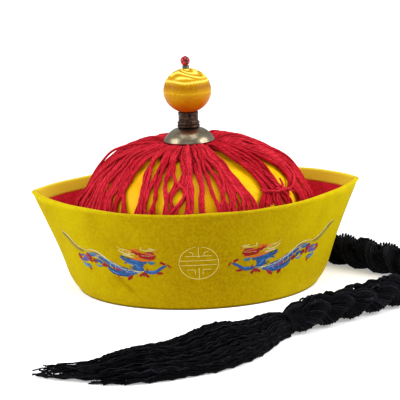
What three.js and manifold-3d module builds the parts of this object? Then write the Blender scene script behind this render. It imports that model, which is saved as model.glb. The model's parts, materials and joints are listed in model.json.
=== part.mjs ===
// Mandarin hat: an upturned yellow band of two panels round a satin crown, a red yarn fringe,
// a metal and silk finial, and a black braided queue that lies on the table.
// Millimetres. +Z is up, the front faces -Y, and the origin lies on the table under the middle.

import * as THREE from 'three';
import { mergeVertices } from 'three/addons/utils/BufferGeometryUtils.js';
import Module from 'manifold-3d';

const wasm = await Module();
wasm.setup();

// Sizes shared by several pieces
const gap = 0.3;
const roundSegments = 48;

// Band: the hem is an ellipse, the rim comes to a point at each side seam
const hemHalfWidth = 96.5;
const hemHalfDepth = 97.5;
const rimHalfWidth = 132;
const rimHalfDepth = 99.8;
const rimPlanPower = 1.5;
const rimHeight = { front: 74.8, back: 78.2, corner: 79.6 };
const rimCornerPower = 3;
const bandThickness = 3.2;
const cornerThickness = 3.6;
const panelThickness = 1.6;
const facingDepth = 11;
const hemRound = 0.3;
const rimRound = 1.0;
const seamGap = 0.3;
const panelSegments = 24;
const liningThickness = 1.3;
const liningHemClearance = 0.6;

// Crown: a squared dome on a nearly straight wall
const crownHalfWidth = 88;
const crownHemHalfWidth = 92.5;
const crownDepthRatio = 1.012;
const crownShoulder = 62;
const crownRise = 50.5;
const crownPower = 2.3;
const crownWall = 1.8;
const crownStations = [89.45, 84, 76.5, 66, 54, 42, 28, 14, 0];
const crownInsideStations = [0, 14, 28, 48, 72, 89.45];
const crownWallMiddle = 30;

// The finial stands a little to the left of the middle, and only the very top of the crown follows it
const finialOffset = -3.4;
const crownLeanPower = 12;

// Fringe
const fringeClearance = 0.8;
const fringeHead = { inner: 2.2, outer: 18, bottom: 112.85, top: 116.1 };
const lockStations = [
  { turn: 83, thickness: 1.6, width: 0.42 },
  { turn: 78.5, thickness: 1.7, width: 0.48 },
  { turn: 75, thickness: 5.2, width: 0.56 },
  { turn: 64.5, thickness: 6.2, width: 0.72 },
  { turn: 52.5, thickness: 5.3, width: 0.88 },
  { turn: 40, thickness: 4.2, width: 0.98 },
  { turn: 27, thickness: 3.4, width: 1.0 },
  { turn: 14, thickness: 3.0, width: 0.95 },
];
const lockTipThickness = 2.6;
const lockTipWidth = 0.6;

// A row for each lock in front: angle from the front, width, height of its tip, lift of its tip
const frontLocks = [
  { angle: -88, width: 19, tip: 66, lift: 9 },
  { angle: -74, width: 19, tip: 65, lift: 10 },
  { angle: -60, width: 18, tip: 66, lift: 7 },
  { angle: -47.5, width: 14, tip: 68, lift: 2 },
  { angle: -32.5, width: 13, tip: 67, lift: 0 },
  { angle: -24.5, width: 8, tip: 67, lift: 0 },
  { angle: -15.5, width: 9, tip: 67, lift: 0 },
  { angle: -4.5, width: 9, tip: 67, lift: 0 },
  { angle: 5, width: 9, tip: 67, lift: 0 },
  { angle: 18.5, width: 15, tip: 67, lift: 0 },
  { angle: 42, width: 17, tip: 76, lift: 0 },
  { angle: 66, width: 15, tip: 68, lift: 2 },
  { angle: 80, width: 18, tip: 66, lift: 4 },
];
const backLocks = { first: 93, last: 258, count: 12, width: 16, tip: 67, lift: 0.5 };

// Finial, heights along its own axis
const rod = { radius: 1.5, tipRadius: 1.1, nutRadius: 3, washerRadius: 8 };
const rodHeights = { bottom: 105.8, washer: 108.4, washerTop: 110, neck: 176.1, top: 178.9 };
const rodClearance = 0.5;
const cap = { rim: 20.4, rimHeight: 114.9, lip: 0.6, wall: 1.1, underside: 116.4, recess: 18.4, top: 126 };

// The cap's bell as shares of its rim radius and of its height
const capBell = [
  { out: 0.9, up: 0.26 },
  { out: 0.77, up: 0.6 },
  { out: 0.6, up: 0.85 },
];
const collar = { radius: 7.65, ring: 8.75, groove: 8.15, bottom: 126.3, ringTop: 131.2, top: 139 };
const ball = { centre: 155.8, radius: 19.1, halfHeight: 18, seat: 139.3 };
const ferrule = { radius: 2.45, hole: 1.85, bottom: 174, top: 176.2 };
const bead = { radius: 3.55, bottom: 176.8, hole: 1.4, holeTop: 179.2 };

// The bead from its foot to its nub, as shares of its radius and heights over the foot
const beadOutline = [
  { out: 0.6, up: 0 },
  { out: 0.88, up: 1.4 },
  { out: 1, up: 3 },
  { out: 0.93, up: 4.5 },
  { out: 0.66, up: 5.7 },
  { out: 0.3, up: 6.2 },
  { out: 0.25, up: 6.7 },
  { out: 0, up: 6.8 },
];
const turnedSides = { head: 30, rod: 12, cap: 24, collar: 20, ball: 24, ferrule: 16, bead: 16 };
const ballSteps = 10;

// Queue: a braid, a tie and a loose tassel, all lying on the table
const braidHalfWidth = 14;
const braidHalfHeight = 11;
const braidSides = 10;
const braidSteps = 40;
const braidRoute = [
  [10.3, 113],
  [21, 112.8],
  [38, 110.2],
  [57, 103.5],
  [77, 91.5],
  [97.5, 72],
  [118, 47],
  [136, 25.3],
  [153.5, 3.6],
  [169.6, -16.2],
  [179.8, -35.2],
  [182, -56.5],
  [176, -77],
  [162.6, -94.2],
  [141.6, -112],
  [120.5, -130],
  [99.5, -147.9],
  [80.5, -164.1],
  [64, -178.2],
];
const cuff = { start: -12, end: 9.6, halfWidth: 15, halfHeight: 12, roundEnd: 4 };
const tie = { length: 6.5, halfWidth: 10, halfHeight: 8.5 };
const tasselRoute = [
  [38, -206],
  [21.5, -226],
  [3.5, -242.5],
  [-14, -254],
  [-30, -262.5],
  [-52, -270],
  [-72, -272],
  [-90, -268],
  [-108, -261],
];
const tasselHead = { length: 9, halfWidth: 11.5, halfHeight: 9 };
const tasselStations = [
  { along: 0.01, spread: 0.22, thick: 0.6 },
  { along: 0.08, spread: 0.42, thick: 0.85 },
  { along: 0.18, spread: 0.7, thick: 1.0 },
  { along: 0.3, spread: 0.95, thick: 1.05 },
  { along: 0.45, spread: 1.0, thick: 1.0 },
  { along: 0.6, spread: 0.92, thick: 0.85 },
  { along: 0.74, spread: 0.8, thick: 0.68 },
  { along: 0.87, spread: 0.62, thick: 0.48 },
  { along: 1.0, spread: 0.42, thick: 0.22 },
];
const tasselLock = { halfWidth: 7.5, halfHeight: 6.2, floor: 0.3 };

// A row for each lock of the tassel: place across it, height of its middle, share of its length
const tasselLocks = [
  { across: 0, height: 6.5, reach: 1.0 },
  { across: 9, height: 6.5, reach: 0.93 },
  { across: -9, height: 6.5, reach: 0.97 },
  { across: 17, height: 6.3, reach: 0.82 },
  { across: -17, height: 6.3, reach: 0.9 },
  { across: 23, height: 6.2, reach: 0.68 },
  { across: -23, height: 6.2, reach: 0.76 },
  { across: 4.5, height: 15.5, reach: 0.9 },
  { across: -5, height: 15.8, reach: 0.84 },
  { across: 13, height: 13.5, reach: 0.72 },
  { across: -14, height: 13.5, reach: 0.78 },
];

// Materials
const finish = (color, roughness, metalness = 0) =>
  new THREE.MeshStandardMaterial({ color, roughness, metalness });
const bandCloth = finish('#c9a80c', 0.75);
const liningFelt = finish('#8f1230', 0.95);
const crownSatin = finish('#f2c20c', 0.45);
const redYarn = finish('#c0143a', 0.85);
const pewter = finish('#8d8672', 0.35, 0.9);
const darkMetal = finish('#3c2a24', 0.5, 0.7);
const silkThread = finish('#e0a514', 0.4);
const greyMetal = finish('#77766e', 0.4, 0.9);
const redLacquer = finish('#a8101c', 0.15, 0.3);
const blackYarn = finish('#101014', 0.85);

const hat = new THREE.Group();
hat.name = 'mandarin_hat';

function addPiece(name, geometry, material) {
  const mesh = new THREE.Mesh(geometry, material);
  mesh.name = name;
  hat.add(mesh);
  return mesh;
}

const degrees = THREE.MathUtils.degToRad;
const mix = THREE.MathUtils.lerp;

// Gives a closed body of points and triangles whose faces point out
function bodyGeometry(points, triangles) {
  let volume = 0;
  for (const [a, b, c] of triangles) {
    volume += points[a].dot(points[b].clone().cross(points[c]));
  }
  const faces = volume < 0 ? triangles.map(([a, b, c]) => [a, c, b]) : triangles;
  const geometry = new THREE.BufferGeometry();
  geometry.setAttribute(
    'position',
    new THREE.Float32BufferAttribute(points.flatMap((p) => p.toArray()), 3),
  );
  geometry.setIndex(faces.flat());
  geometry.computeVertexNormals();
  return geometry;
}

// Joins rings of points with equal counts into one body, closed by end caps or back to its start
function loft(rings, { closed = false, capSection = null } = {}) {
  const sides = rings[0].length;
  const spans = closed ? rings.length : rings.length - 1;
  const triangles = [];
  for (let ring = 0; ring < spans; ring += 1) {
    const here = ring * sides;
    const next = ((ring + 1) % rings.length) * sides;
    for (let side = 0; side < sides; side += 1) {
      const after = (side + 1) % sides;
      triangles.push([here + side, next + side, next + after]);
      triangles.push([here + side, next + after, here + after]);
    }
  }
  if (!closed) {
    const fan = [];
    for (let side = 1; side < sides - 1; side += 1) fan.push([0, side, side + 1]);
    const capFaces = capSection ? THREE.ShapeUtils.triangulateShape(capSection, []) : fan;
    const clockwise = capSection && THREE.ShapeUtils.area(capSection) < 0;
    const last = (rings.length - 1) * sides;
    for (const [a, b, c] of capFaces) {
      const [first, second, third] = clockwise ? [a, c, b] : [a, b, c];
      triangles.push([first, second, third]);
      triangles.push([last + first, last + third, last + second]);
    }
  }
  return bodyGeometry(rings.flat(), triangles);
}

// Turns a closed profile of radius and height about the finial's axis
function turned(profile, segments) {
  const points = profile.map(([radius, height]) => new THREE.Vector2(radius, height));
  const geometry = new THREE.LatheGeometry(points, segments);
  geometry.rotateX(Math.PI / 2);
  geometry.translate(finialOffset, 0, 0);
  return geometry;
}

function toSolid(geometry) {
  const bare = geometry.clone();
  bare.deleteAttribute('normal');
  bare.deleteAttribute('uv');
  const merged = mergeVertices(bare, 1e-3);
  const vertProperties = new Float32Array(merged.attributes.position.array);
  const triVerts = new Uint32Array(merged.index.array);
  return new wasm.Manifold(new wasm.Mesh({ numProp: 3, vertProperties, triVerts }));
}

function fuse(geometries) {
  let body = toSolid(geometries[0]);
  for (const geometry of geometries.slice(1)) body = body.add(toSolid(geometry));
  const result = body.getMesh();
  const geometry = new THREE.BufferGeometry();
  geometry.setAttribute('position', new THREE.BufferAttribute(result.vertProperties, 3));
  geometry.setIndex(new THREE.BufferAttribute(result.triVerts, 1));
  geometry.computeVertexNormals();
  return geometry;
}

// Band. The turn runs from -90 at the left seam to 90 at the right one, seen from outside.
function rimHeightAt(turn, side) {
  const towardsCorner = Math.abs(Math.sin(turn)) ** rimCornerPower;
  return mix(rimHeight[side], rimHeight.corner, towardsCorner);
}

function bandPoint(turn, side, height, depth) {
  const across = Math.sin(turn);
  const along = Math.max(Math.cos(turn), 0);
  const rise = height / rimHeightAt(turn, side);
  const inward = depth / bandThickness;
  const hemX = (hemHalfWidth - depth) * across;
  const rimX = (rimHalfWidth - inward * cornerThickness) * across;
  const hemY = (hemHalfDepth - depth) * along;
  const rimY = (rimHalfDepth - depth) * along ** rimPlanPower;
  const facing = side === 'front' ? -1 : 1;
  const y = seamGap / 2 + mix(hemY, rimY, rise) * (1 - seamGap / 2 / hemHalfDepth);
  return new THREE.Vector3(mix(hemX, rimX, rise), facing * y, height);
}

// Both panels are swept round the hat in one direction, closer together near the seams
function sweepTurn(side, segment) {
  const share = (2 * segment) / panelSegments - 1;
  const eased = Math.sign(share) * (1 - (1 - Math.abs(share)) ** 1.25);
  return degrees(side === 'front' ? 90 * eased : -90 * eased);
}

// Section of a panel as height and depth from the outer face, round from the hem
function panelSection(rim) {
  return [
    [0, hemRound],
    [hemRound * 4, 0],
    [rim - rimRound, 0],
    [rim, rimRound],
    [rim, bandThickness - rimRound],
    [rim - rimRound, bandThickness],
    [rim - facingDepth, bandThickness],
    [rim - facingDepth, panelThickness],
    [0, panelThickness],
  ];
}

function brimPanel(side) {
  const rings = [];
  for (let segment = 0; segment <= panelSegments; segment += 1) {
    const turn = sweepTurn(side, segment);
    const section = panelSection(rimHeightAt(turn, side));
    rings.push(section.map(([height, depth]) => bandPoint(turn, side, height, depth)));
  }
  const capSection = panelSection(rimHeight.corner).map(([height, depth]) => new THREE.Vector2(depth, height));
  return loft(rings, { capSection });
}

function brimLining() {
  const outer = panelThickness + gap;
  const inner = outer + liningThickness;
  const rings = [];
  for (const side of ['front', 'back']) {
    for (let segment = 0; segment <= panelSegments; segment += 1) {
      const turn = sweepTurn(side, segment);
      const rim = rimHeightAt(turn, side);
      const top = rim - facingDepth - gap;
      const section = [
        [top, outer],
        [liningHemClearance, outer],
        [liningHemClearance, inner],
        [top, inner],
      ];
      rings.push(section.map(([height, depth]) => bandPoint(turn, side, height, depth)));
    }
  }
  return loft(rings, { closed: true });
}

// Crown. The station angle is 90 at the top and 0 at the shoulder.
function crownProfile(station, lift) {
  const turn = degrees(station);
  const flat = Math.cos(turn) ** (2 / crownPower);
  const tall = Math.sin(turn) ** (2 / crownPower);
  const slopeOut = flat ** (crownPower - 1) / crownHalfWidth;
  const slopeUp = tall ** (crownPower - 1) / crownRise;
  const length = Math.hypot(slopeOut, slopeUp);
  return {
    radius: crownHalfWidth * flat + (lift * slopeOut) / length,
    height: crownShoulder + crownRise * tall + (lift * slopeUp) / length,
  };
}

function crownPoint(angle, { radius, height }) {
  const topInside = crownShoulder + crownRise - crownWall;
  const lean = finialOffset * Math.min(Math.max(height, 0) / topInside, 1) ** crownLeanPower;
  return new THREE.Vector3(
    lean + radius * Math.sin(angle),
    -crownDepthRatio * radius * Math.cos(angle),
    height,
  );
}

function crown() {
  const wallAt = (height, lift) => ({
    radius: mix(crownHemHalfWidth, crownHalfWidth, height / crownShoulder) + lift,
    height,
  });
  const outside = [...crownStations.map((station) => crownProfile(station, 0)), wallAt(crownWallMiddle, 0)];
  const inside = [wallAt(crownWallMiddle, -crownWall)];
  for (const station of crownInsideStations) inside.push(crownProfile(station, -crownWall));
  const hem = [wallAt(0, 0), wallAt(0, -crownWall)];
  const profile = [...outside, ...hem, ...inside];
  profile[0].radius = rod.radius + rodClearance;
  profile[profile.length - 1].radius = rod.radius + rodClearance;
  const rings = [];
  for (let segment = 0; segment < roundSegments; segment += 1) {
    const angle = (2 * Math.PI * segment) / roundSegments;
    rings.push(profile.map((place) => crownPoint(angle, place)));
  }
  return loft(rings, { closed: true });
}

// Fringe: flattened locks that run down the crown from a head under the metal cap
function stationAtHeight(height) {
  const tall = (height - crownShoulder) / crownRise;
  return THREE.MathUtils.radToDeg(Math.asin(tall ** (crownPower / 2)));
}

function lockSection(angle, station, lift, halfWidth, halfThickness) {
  const corners = [
    [1, 0],
    [0.55, 1],
    [-0.55, 1],
    [-1, 0],
    [-0.55, -1],
    [0.55, -1],
  ];
  return corners.map(([across, up]) => {
    const place = crownProfile(station, lift + halfThickness * up);
    return crownPoint(angle + (across * halfWidth) / place.radius, place);
  });
}

function fringeLock({ angle, width, tip, lift }) {
  const direction = degrees(angle);
  const tipStation = stationAtHeight(tip);
  const rings = lockStations.map(({ turn, thickness, width: share }) => {
    const towardsTip = (90 - turn) / (90 - tipStation);
    const swing = lift * towardsTip ** 4;
    const middle = fringeClearance + thickness / 2 + swing;
    return lockSection(direction, turn, middle, (width * share) / 2, thickness / 2);
  });
  const tipMiddle = fringeClearance + lockTipThickness / 2 + lift;
  rings.push(
    lockSection(direction, tipStation, tipMiddle, (width * lockTipWidth) / 2, lockTipThickness / 2),
  );
  return loft(rings);
}

function fringe() {
  const { inner, outer, bottom, top } = fringeHead;
  const head = turned(
    [
      [inner, bottom],
      [outer, bottom],
      [outer, top],
      [inner, top],
      [inner, bottom],
    ],
    turnedSides.head,
  );
  const locks = [...frontLocks];
  const step = (backLocks.last - backLocks.first) / (backLocks.count - 1);
  for (let index = 0; index < backLocks.count; index += 1) {
    locks.push({ ...backLocks, angle: backLocks.first + index * step });
  }
  return fuse([head, ...locks.map(fringeLock)]);
}

// Finial
function finialRod() {
  const { bottom, washer, washerTop, neck, top } = rodHeights;
  return turned(
    [
      [0, bottom],
      [rod.nutRadius, bottom],
      [rod.nutRadius, washer],
      [rod.washerRadius, washer],
      [rod.washerRadius, washerTop],
      [rod.radius, washerTop],
      [rod.radius, neck],
      [rod.tipRadius, neck],
      [rod.tipRadius, top],
      [0, top],
    ],
    turnedSides.rod,
  );
}

function finialCap() {
  const hole = rod.radius + rodClearance;
  const { rim, rimHeight: foot, lip, wall, underside, recess, top } = cap;
  const bell = capBell.map(({ out, up }) => [rim * out, mix(foot, top, up)]);
  const profile = [
    [hole, underside],
    [recess, underside],
    [rim - wall, foot],
    [rim, foot],
    [rim, foot + lip],
    ...bell,
    [collar.ring, top],
    [hole, top],
    [hole, underside],
  ];
  return turned(profile, turnedSides.cap);
}

function finialCollar() {
  const hole = rod.radius + rodClearance;
  const { radius, ring, groove, bottom, ringTop, top } = collar;
  const ringHeight = (ringTop - bottom) / 2;
  const profile = [
    [hole, bottom],
    [groove, bottom],
  ];
  for (const foot of [bottom, bottom + ringHeight]) {
    profile.push([ring, foot + ringHeight * 0.25]);
    profile.push([ring, foot + ringHeight * 0.7]);
    profile.push([groove, foot + ringHeight]);
  }
  profile.push([radius, ringTop], [radius, top], [hole, top], [hole, bottom]);
  return turned(profile, turnedSides.collar);
}

// A slightly flattened ball, cut flat where it sits on the collar
function finialBall() {
  const hole = rod.radius + rodClearance;
  const lowest = -Math.asin((ball.centre - ball.seat) / ball.halfHeight);
  const highest = Math.acos(hole / ball.radius);
  const profile = [[hole, ball.seat]];
  for (let step = 0; step <= ballSteps; step += 1) {
    const turn = mix(lowest, highest, step / ballSteps);
    profile.push([ball.radius * Math.cos(turn), ball.centre + ball.halfHeight * Math.sin(turn)]);
  }
  profile.push([hole, ball.seat]);
  return turned(profile, turnedSides.ball);
}

function finialFerrule() {
  const { radius, hole, bottom, top } = ferrule;
  const profile = [
    [hole, bottom],
    [radius, bottom],
    [radius, top],
    [hole, top],
    [hole, bottom],
  ];
  return turned(profile, turnedSides.ferrule);
}

function finialBead() {
  const { radius, bottom, hole, holeTop } = bead;
  const profile = [
    [0, holeTop],
    [hole, holeTop],
    [hole, bottom],
    ...beadOutline.map(({ out, up }) => [radius * out, bottom + up]),
  ];
  return turned(profile, turnedSides.bead);
}

// Queue. Flat routes are given from above, and each piece lies on the table.
function flatCurve(route, height) {
  return new THREE.CatmullRomCurve3(route.map(([x, y]) => new THREE.Vector3(x, y, height)));
}

function ovalRing(centre, forward, halfWidth, halfHeight, sides) {
  const sideways = new THREE.Vector3(-forward.y, forward.x, 0).normalize();
  const ring = [];
  for (let side = 0; side < sides; side += 1) {
    const turn = (2 * Math.PI * side) / sides;
    const point = centre.clone().addScaledVector(sideways, halfWidth * Math.cos(turn));
    point.z += halfHeight * Math.sin(turn);
    ring.push(point);
  }
  return ring;
}

function braid() {
  const section = new THREE.Shape();
  for (let side = 0; side < braidSides; side += 1) {
    const turn = (2 * Math.PI * side) / braidSides;
    const corner = [braidHalfHeight * Math.sin(turn), braidHalfWidth * Math.cos(turn)];
    if (side === 0) section.moveTo(...corner);
    else section.lineTo(...corner);
  }
  section.closePath();
  return new THREE.ExtrudeGeometry(section, {
    steps: braidSteps,
    extrudePath: flatCurve(braidRoute, braidHalfHeight),
  });
}

// A bound root that lies against the hem at the centre back
function braidCuff() {
  const forward = new THREE.Vector3(1, 0, 0);
  const rows = [
    [cuff.start, 0.55],
    [cuff.start + cuff.roundEnd * 0.4, 0.85],
    [cuff.start + cuff.roundEnd, 1],
    [cuff.end, 1],
  ];
  const middle = braidRoute[0][1];
  const rings = rows.map(([x, share]) => {
    const centre = new THREE.Vector3(x, middle, cuff.halfHeight);
    return ovalRing(centre, forward, cuff.halfWidth * share, cuff.halfHeight * share, braidSides);
  });
  return loft(rings);
}

function routeEnd(route) {
  const [from, to] = route.slice(-2).map(([x, y]) => new THREE.Vector3(x, y, 0));
  return { end: to, forward: to.clone().sub(from).normalize() };
}

function braidTie() {
  const { end, forward } = routeEnd(braidRoute);
  const rings = [gap, gap + tie.length].map((distance) => {
    const centre = end.clone().addScaledVector(forward, distance);
    centre.z = tie.halfHeight;
    return ovalRing(centre, forward, tie.halfWidth, tie.halfHeight, braidSides);
  });
  return loft(rings);
}

// The tassel leaves the tie in the braid's own direction
function tasselCurve() {
  const { end, forward } = routeEnd(braidRoute);
  const start = gap + tie.length + gap;
  const straight = [start, start + tasselHead.length].map((distance) => {
    const point = end.clone().addScaledVector(forward, distance);
    return [point.x, point.y];
  });
  return flatCurve([...straight, ...tasselRoute], 0);
}

function tasselLockBody({ across, height, reach }) {
  const curve = tasselCurve();
  const rings = tasselStations.map(({ along, spread, thick }) => {
    const share = along * reach;
    const forward = curve.getTangentAt(share);
    const centre = curve.getPointAt(share);
    const sideways = new THREE.Vector3(-forward.y, forward.x, 0);
    centre.addScaledVector(sideways, across * spread);
    const halfHeight = tasselLock.halfHeight * thick;
    centre.z = Math.max(height * thick, halfHeight + tasselLock.floor);
    const halfWidth = tasselLock.halfWidth * mix(thick, 1, 0.35) * mix(spread, 1, 0.5);
    return ovalRing(centre, forward, halfWidth, halfHeight, 6);
  });
  return loft(rings);
}

function braidTassel() {
  const curve = tasselCurve();
  const total = curve.getLength();
  const headRings = [0, 0.5, 1].map((share) => {
    const along = (share * tasselHead.length) / total;
    const centre = curve.getPointAt(along);
    const swell = mix(0.9, 1.15, share);
    centre.z = tasselHead.halfHeight * swell;
    const forward = curve.getTangentAt(along);
    return ovalRing(centre, forward, tasselHead.halfWidth * swell, tasselHead.halfHeight * swell, braidSides);
  });
  return fuse([loft(headRings), ...tasselLocks.map(tasselLockBody)]);
}

addPiece('brim_front', brimPanel('front'), bandCloth);
addPiece('brim_back', brimPanel('back'), bandCloth);
addPiece('brim_lining', brimLining(), liningFelt);
addPiece('crown', crown(), crownSatin);
addPiece('fringe', fringe(), redYarn);
addPiece('finial_rod', finialRod(), darkMetal);
addPiece('finial_cap', finialCap(), pewter);
addPiece('finial_collar', finialCollar(), darkMetal);
addPiece('finial_ball', finialBall(), silkThread);
addPiece('finial_ferrule', finialFerrule(), greyMetal);
addPiece('finial_bead', finialBead(), redLacquer);
addPiece('braid_cuff', braidCuff(), blackYarn);
addPiece('braid', braid(), blackYarn);
addPiece('braid_tie', braidTie(), blackYarn);
addPiece('braid_tassel', braidTassel(), blackYarn);

export default hat;
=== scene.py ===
import json
import math
import random

import bmesh
import bpy
import numpy as np
from mathutils import Matrix, Vector

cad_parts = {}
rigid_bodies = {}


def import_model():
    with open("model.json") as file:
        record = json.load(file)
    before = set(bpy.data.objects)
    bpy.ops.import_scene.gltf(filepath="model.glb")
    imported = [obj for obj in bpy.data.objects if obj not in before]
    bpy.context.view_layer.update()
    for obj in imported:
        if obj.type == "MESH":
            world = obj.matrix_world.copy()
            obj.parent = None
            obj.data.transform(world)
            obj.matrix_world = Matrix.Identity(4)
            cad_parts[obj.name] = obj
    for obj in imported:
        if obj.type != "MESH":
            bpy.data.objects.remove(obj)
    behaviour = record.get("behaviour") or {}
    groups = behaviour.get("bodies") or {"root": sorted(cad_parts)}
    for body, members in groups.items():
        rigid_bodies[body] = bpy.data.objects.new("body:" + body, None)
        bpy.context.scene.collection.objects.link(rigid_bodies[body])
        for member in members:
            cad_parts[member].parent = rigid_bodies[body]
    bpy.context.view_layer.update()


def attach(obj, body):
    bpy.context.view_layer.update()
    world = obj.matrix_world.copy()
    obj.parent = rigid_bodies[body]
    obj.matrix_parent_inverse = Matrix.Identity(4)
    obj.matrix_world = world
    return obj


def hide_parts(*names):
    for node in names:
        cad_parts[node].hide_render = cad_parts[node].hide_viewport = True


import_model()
print("mandarin hat: frame loaded")

mm = 0.001  # the sizes below are millimetres unless a note says otherwise

# The photograph's view: angles in radians, focal length in pixels of the square picture
photoView = {
    "place": (0, -1600, 384),
    "pitch": 0.196,
    "yaw": 0.0021,
    "roll": -0.0388,
    "focal": 2023.33,
    "picture": 400,
}


def addCamera(view):
    pitch, yaw, roll = view["pitch"], view["yaw"], view["roll"]
    ahead = Vector((math.sin(yaw) * math.cos(pitch), math.cos(yaw) * math.cos(pitch), -math.sin(pitch)))
    level = Vector((math.cos(yaw), -math.sin(yaw), 0))
    upright = level.cross(ahead)
    across = level * math.cos(roll) + upright * math.sin(roll)
    upward = upright * math.cos(roll) - level * math.sin(roll)
    camera = bpy.data.objects.new("photoCamera", bpy.data.cameras.new("photoCamera"))
    camera.matrix_world = Matrix((across, upward, -ahead)).transposed().to_4x4()
    camera.location = Vector(view["place"]) * mm
    camera.data.lens = camera.data.sensor_width * view["focal"] / view["picture"]
    camera.data.clip_end = 20
    bpy.context.scene.collection.objects.link(camera)
    bpy.context.scene.camera = camera


def addNode(tree, kind, inputs=None, **settings):
    node = tree.nodes.new(kind)
    for name, value in settings.items():
        setattr(node, name, value)
    for name, value in (inputs or {}).items():
        if isinstance(value, bpy.types.NodeSocket):
            tree.links.new(value, node.inputs[name])
        else:
            node.inputs[name].default_value = value
    return node


def paint(code):  # a colour as on screen, "#rrggbb", into the shader's linear values
    shares = [int(code[start:start + 2], 16) / 255 for start in (1, 3, 5)]
    return [s / 12.92 if s <= 0.04045 else ((s + 0.055) / 1.055) ** 2.4 for s in shares] + [1.0]


def mathOf(tree, operation, first, second=0.0):
    return addNode(tree, "ShaderNodeMath", {0: first, 1: second}, operation=operation).outputs[0]


def rangeOf(tree, value, low, high, newLow=0.0, newHigh=1.0):
    limits = {"From Min": low, "From Max": high, "To Min": newLow, "To Max": newHigh}
    return addNode(tree, "ShaderNodeMapRange", {"Value": value, **limits}).outputs[0]


def mixColours(tree, factor, first, second, blend="MIX"):
    sockets = {0: factor, 6: first, 7: second}
    return addNode(tree, "ShaderNodeMix", sockets, data_type="RGBA", blend_type=blend).outputs[2]


def noiseOf(tree, place, scale, detail=3.0, roughness=0.55, distortion=0.0):
    inputs = {"Vector": place, "Scale": scale, "Detail": detail, "Roughness": roughness}
    return addNode(tree, "ShaderNodeTexNoise", {**inputs, "Distortion": distortion}).outputs[0]


def noiseRange(tree, place, noise, *limits):  # noise holds its scale, detail and roughness
    return rangeOf(tree, noiseOf(tree, place, *noise), *limits)


def bumpOf(tree, height, distance, normal=None, strength=1.0):
    inputs = {"Height": height, "Distance": distance * mm, "Strength": strength}
    if normal:
        inputs["Normal"] = normal
    return addNode(tree, "ShaderNodeBump", inputs).outputs["Normal"]


def waveOf(tree, value, period):  # 0 to 1 and back over each period in millimetres of a value in metres
    turns = mathOf(tree, "MULTIPLY", value, 2 * math.pi / (period * mm))
    return rangeOf(tree, mathOf(tree, "SINE", turns), -1, 1)


def attributeOf(tree, name, output="Fac"):
    return addNode(tree, "ShaderNodeAttribute", attribute_name=name).outputs[output]


def objectPlace(tree):
    return addNode(tree, "ShaderNodeTexCoord").outputs["Object"]


def clothPlace(tree):  # distances over the cloth in metres, from the piece's own map
    return addNode(tree, "ShaderNodeTexCoord").outputs["UV"]


def newMaterial(name, **shaderValues):
    material = bpy.data.materials.new(name)
    material.use_nodes = True
    shader = material.node_tree.nodes["Principled BSDF"]
    for socket, value in shaderValues.items():
        shader.inputs[socket.replace("_", " ")].default_value = value
    return material, material.node_tree, shader


def finishShader(tree, shader, colour, normal=None, roughness=None):
    tree.links.new(colour, shader.inputs["Base Color"])
    if normal:
        tree.links.new(normal, shader.inputs["Normal"])
    if roughness:
        tree.links.new(roughness, shader.inputs["Roughness"])


def weaveHeight(tree, warp, weft):  # plain weave: threads cross over and under each other
    split = addNode(tree, "ShaderNodeSeparateXYZ", {0: clothPlace(tree)})
    warpWave, weftWave = waveOf(tree, split.outputs[0], warp), waveOf(tree, split.outputs[1], weft)
    return mathOf(tree, "MULTIPLY", warpWave, weftWave)


# Yellow cloth of the band
bandFinish = {
    # painted light and shade: the band is painted darker and browner in the middle and lighter towards its
    # sides, where the side lamps light it
    "middle": "#9c7c00",
    "side": "#bcab00",
    "paleFleckAndHighlight": "#d2be10",
    # pale flecks of the cloth, and the painted highlight along the rim
    "shade": "#8c6a00",
    # painted light: the facing inside the rim is the band's own cloth, painted lighter
    "facing": "#ffe640",
    "hem": "#3a2a02",
    "warp": 0.55,
    "weft": 0.62,
    "litSideFrom": 20,
    "litSideTo": 105,
    "blotches": 0.6,
    "slubs": 0.45,
    "grain": 0.36,
    "rimHighlightFrom": 72.5,
    "rimHighlightTo": 76,
    "facingLightShare": 0.98,
    "creaseShare": 0.6,
    "puckerPitch": 1.9,
    "puckerReach": 7,
    "puckerDrift": 0.8,
    "puckerShadeShare": 0.3,
    "hemShadowFrom": 0.6,
    "hemShadowTo": 2.2,
}


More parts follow.
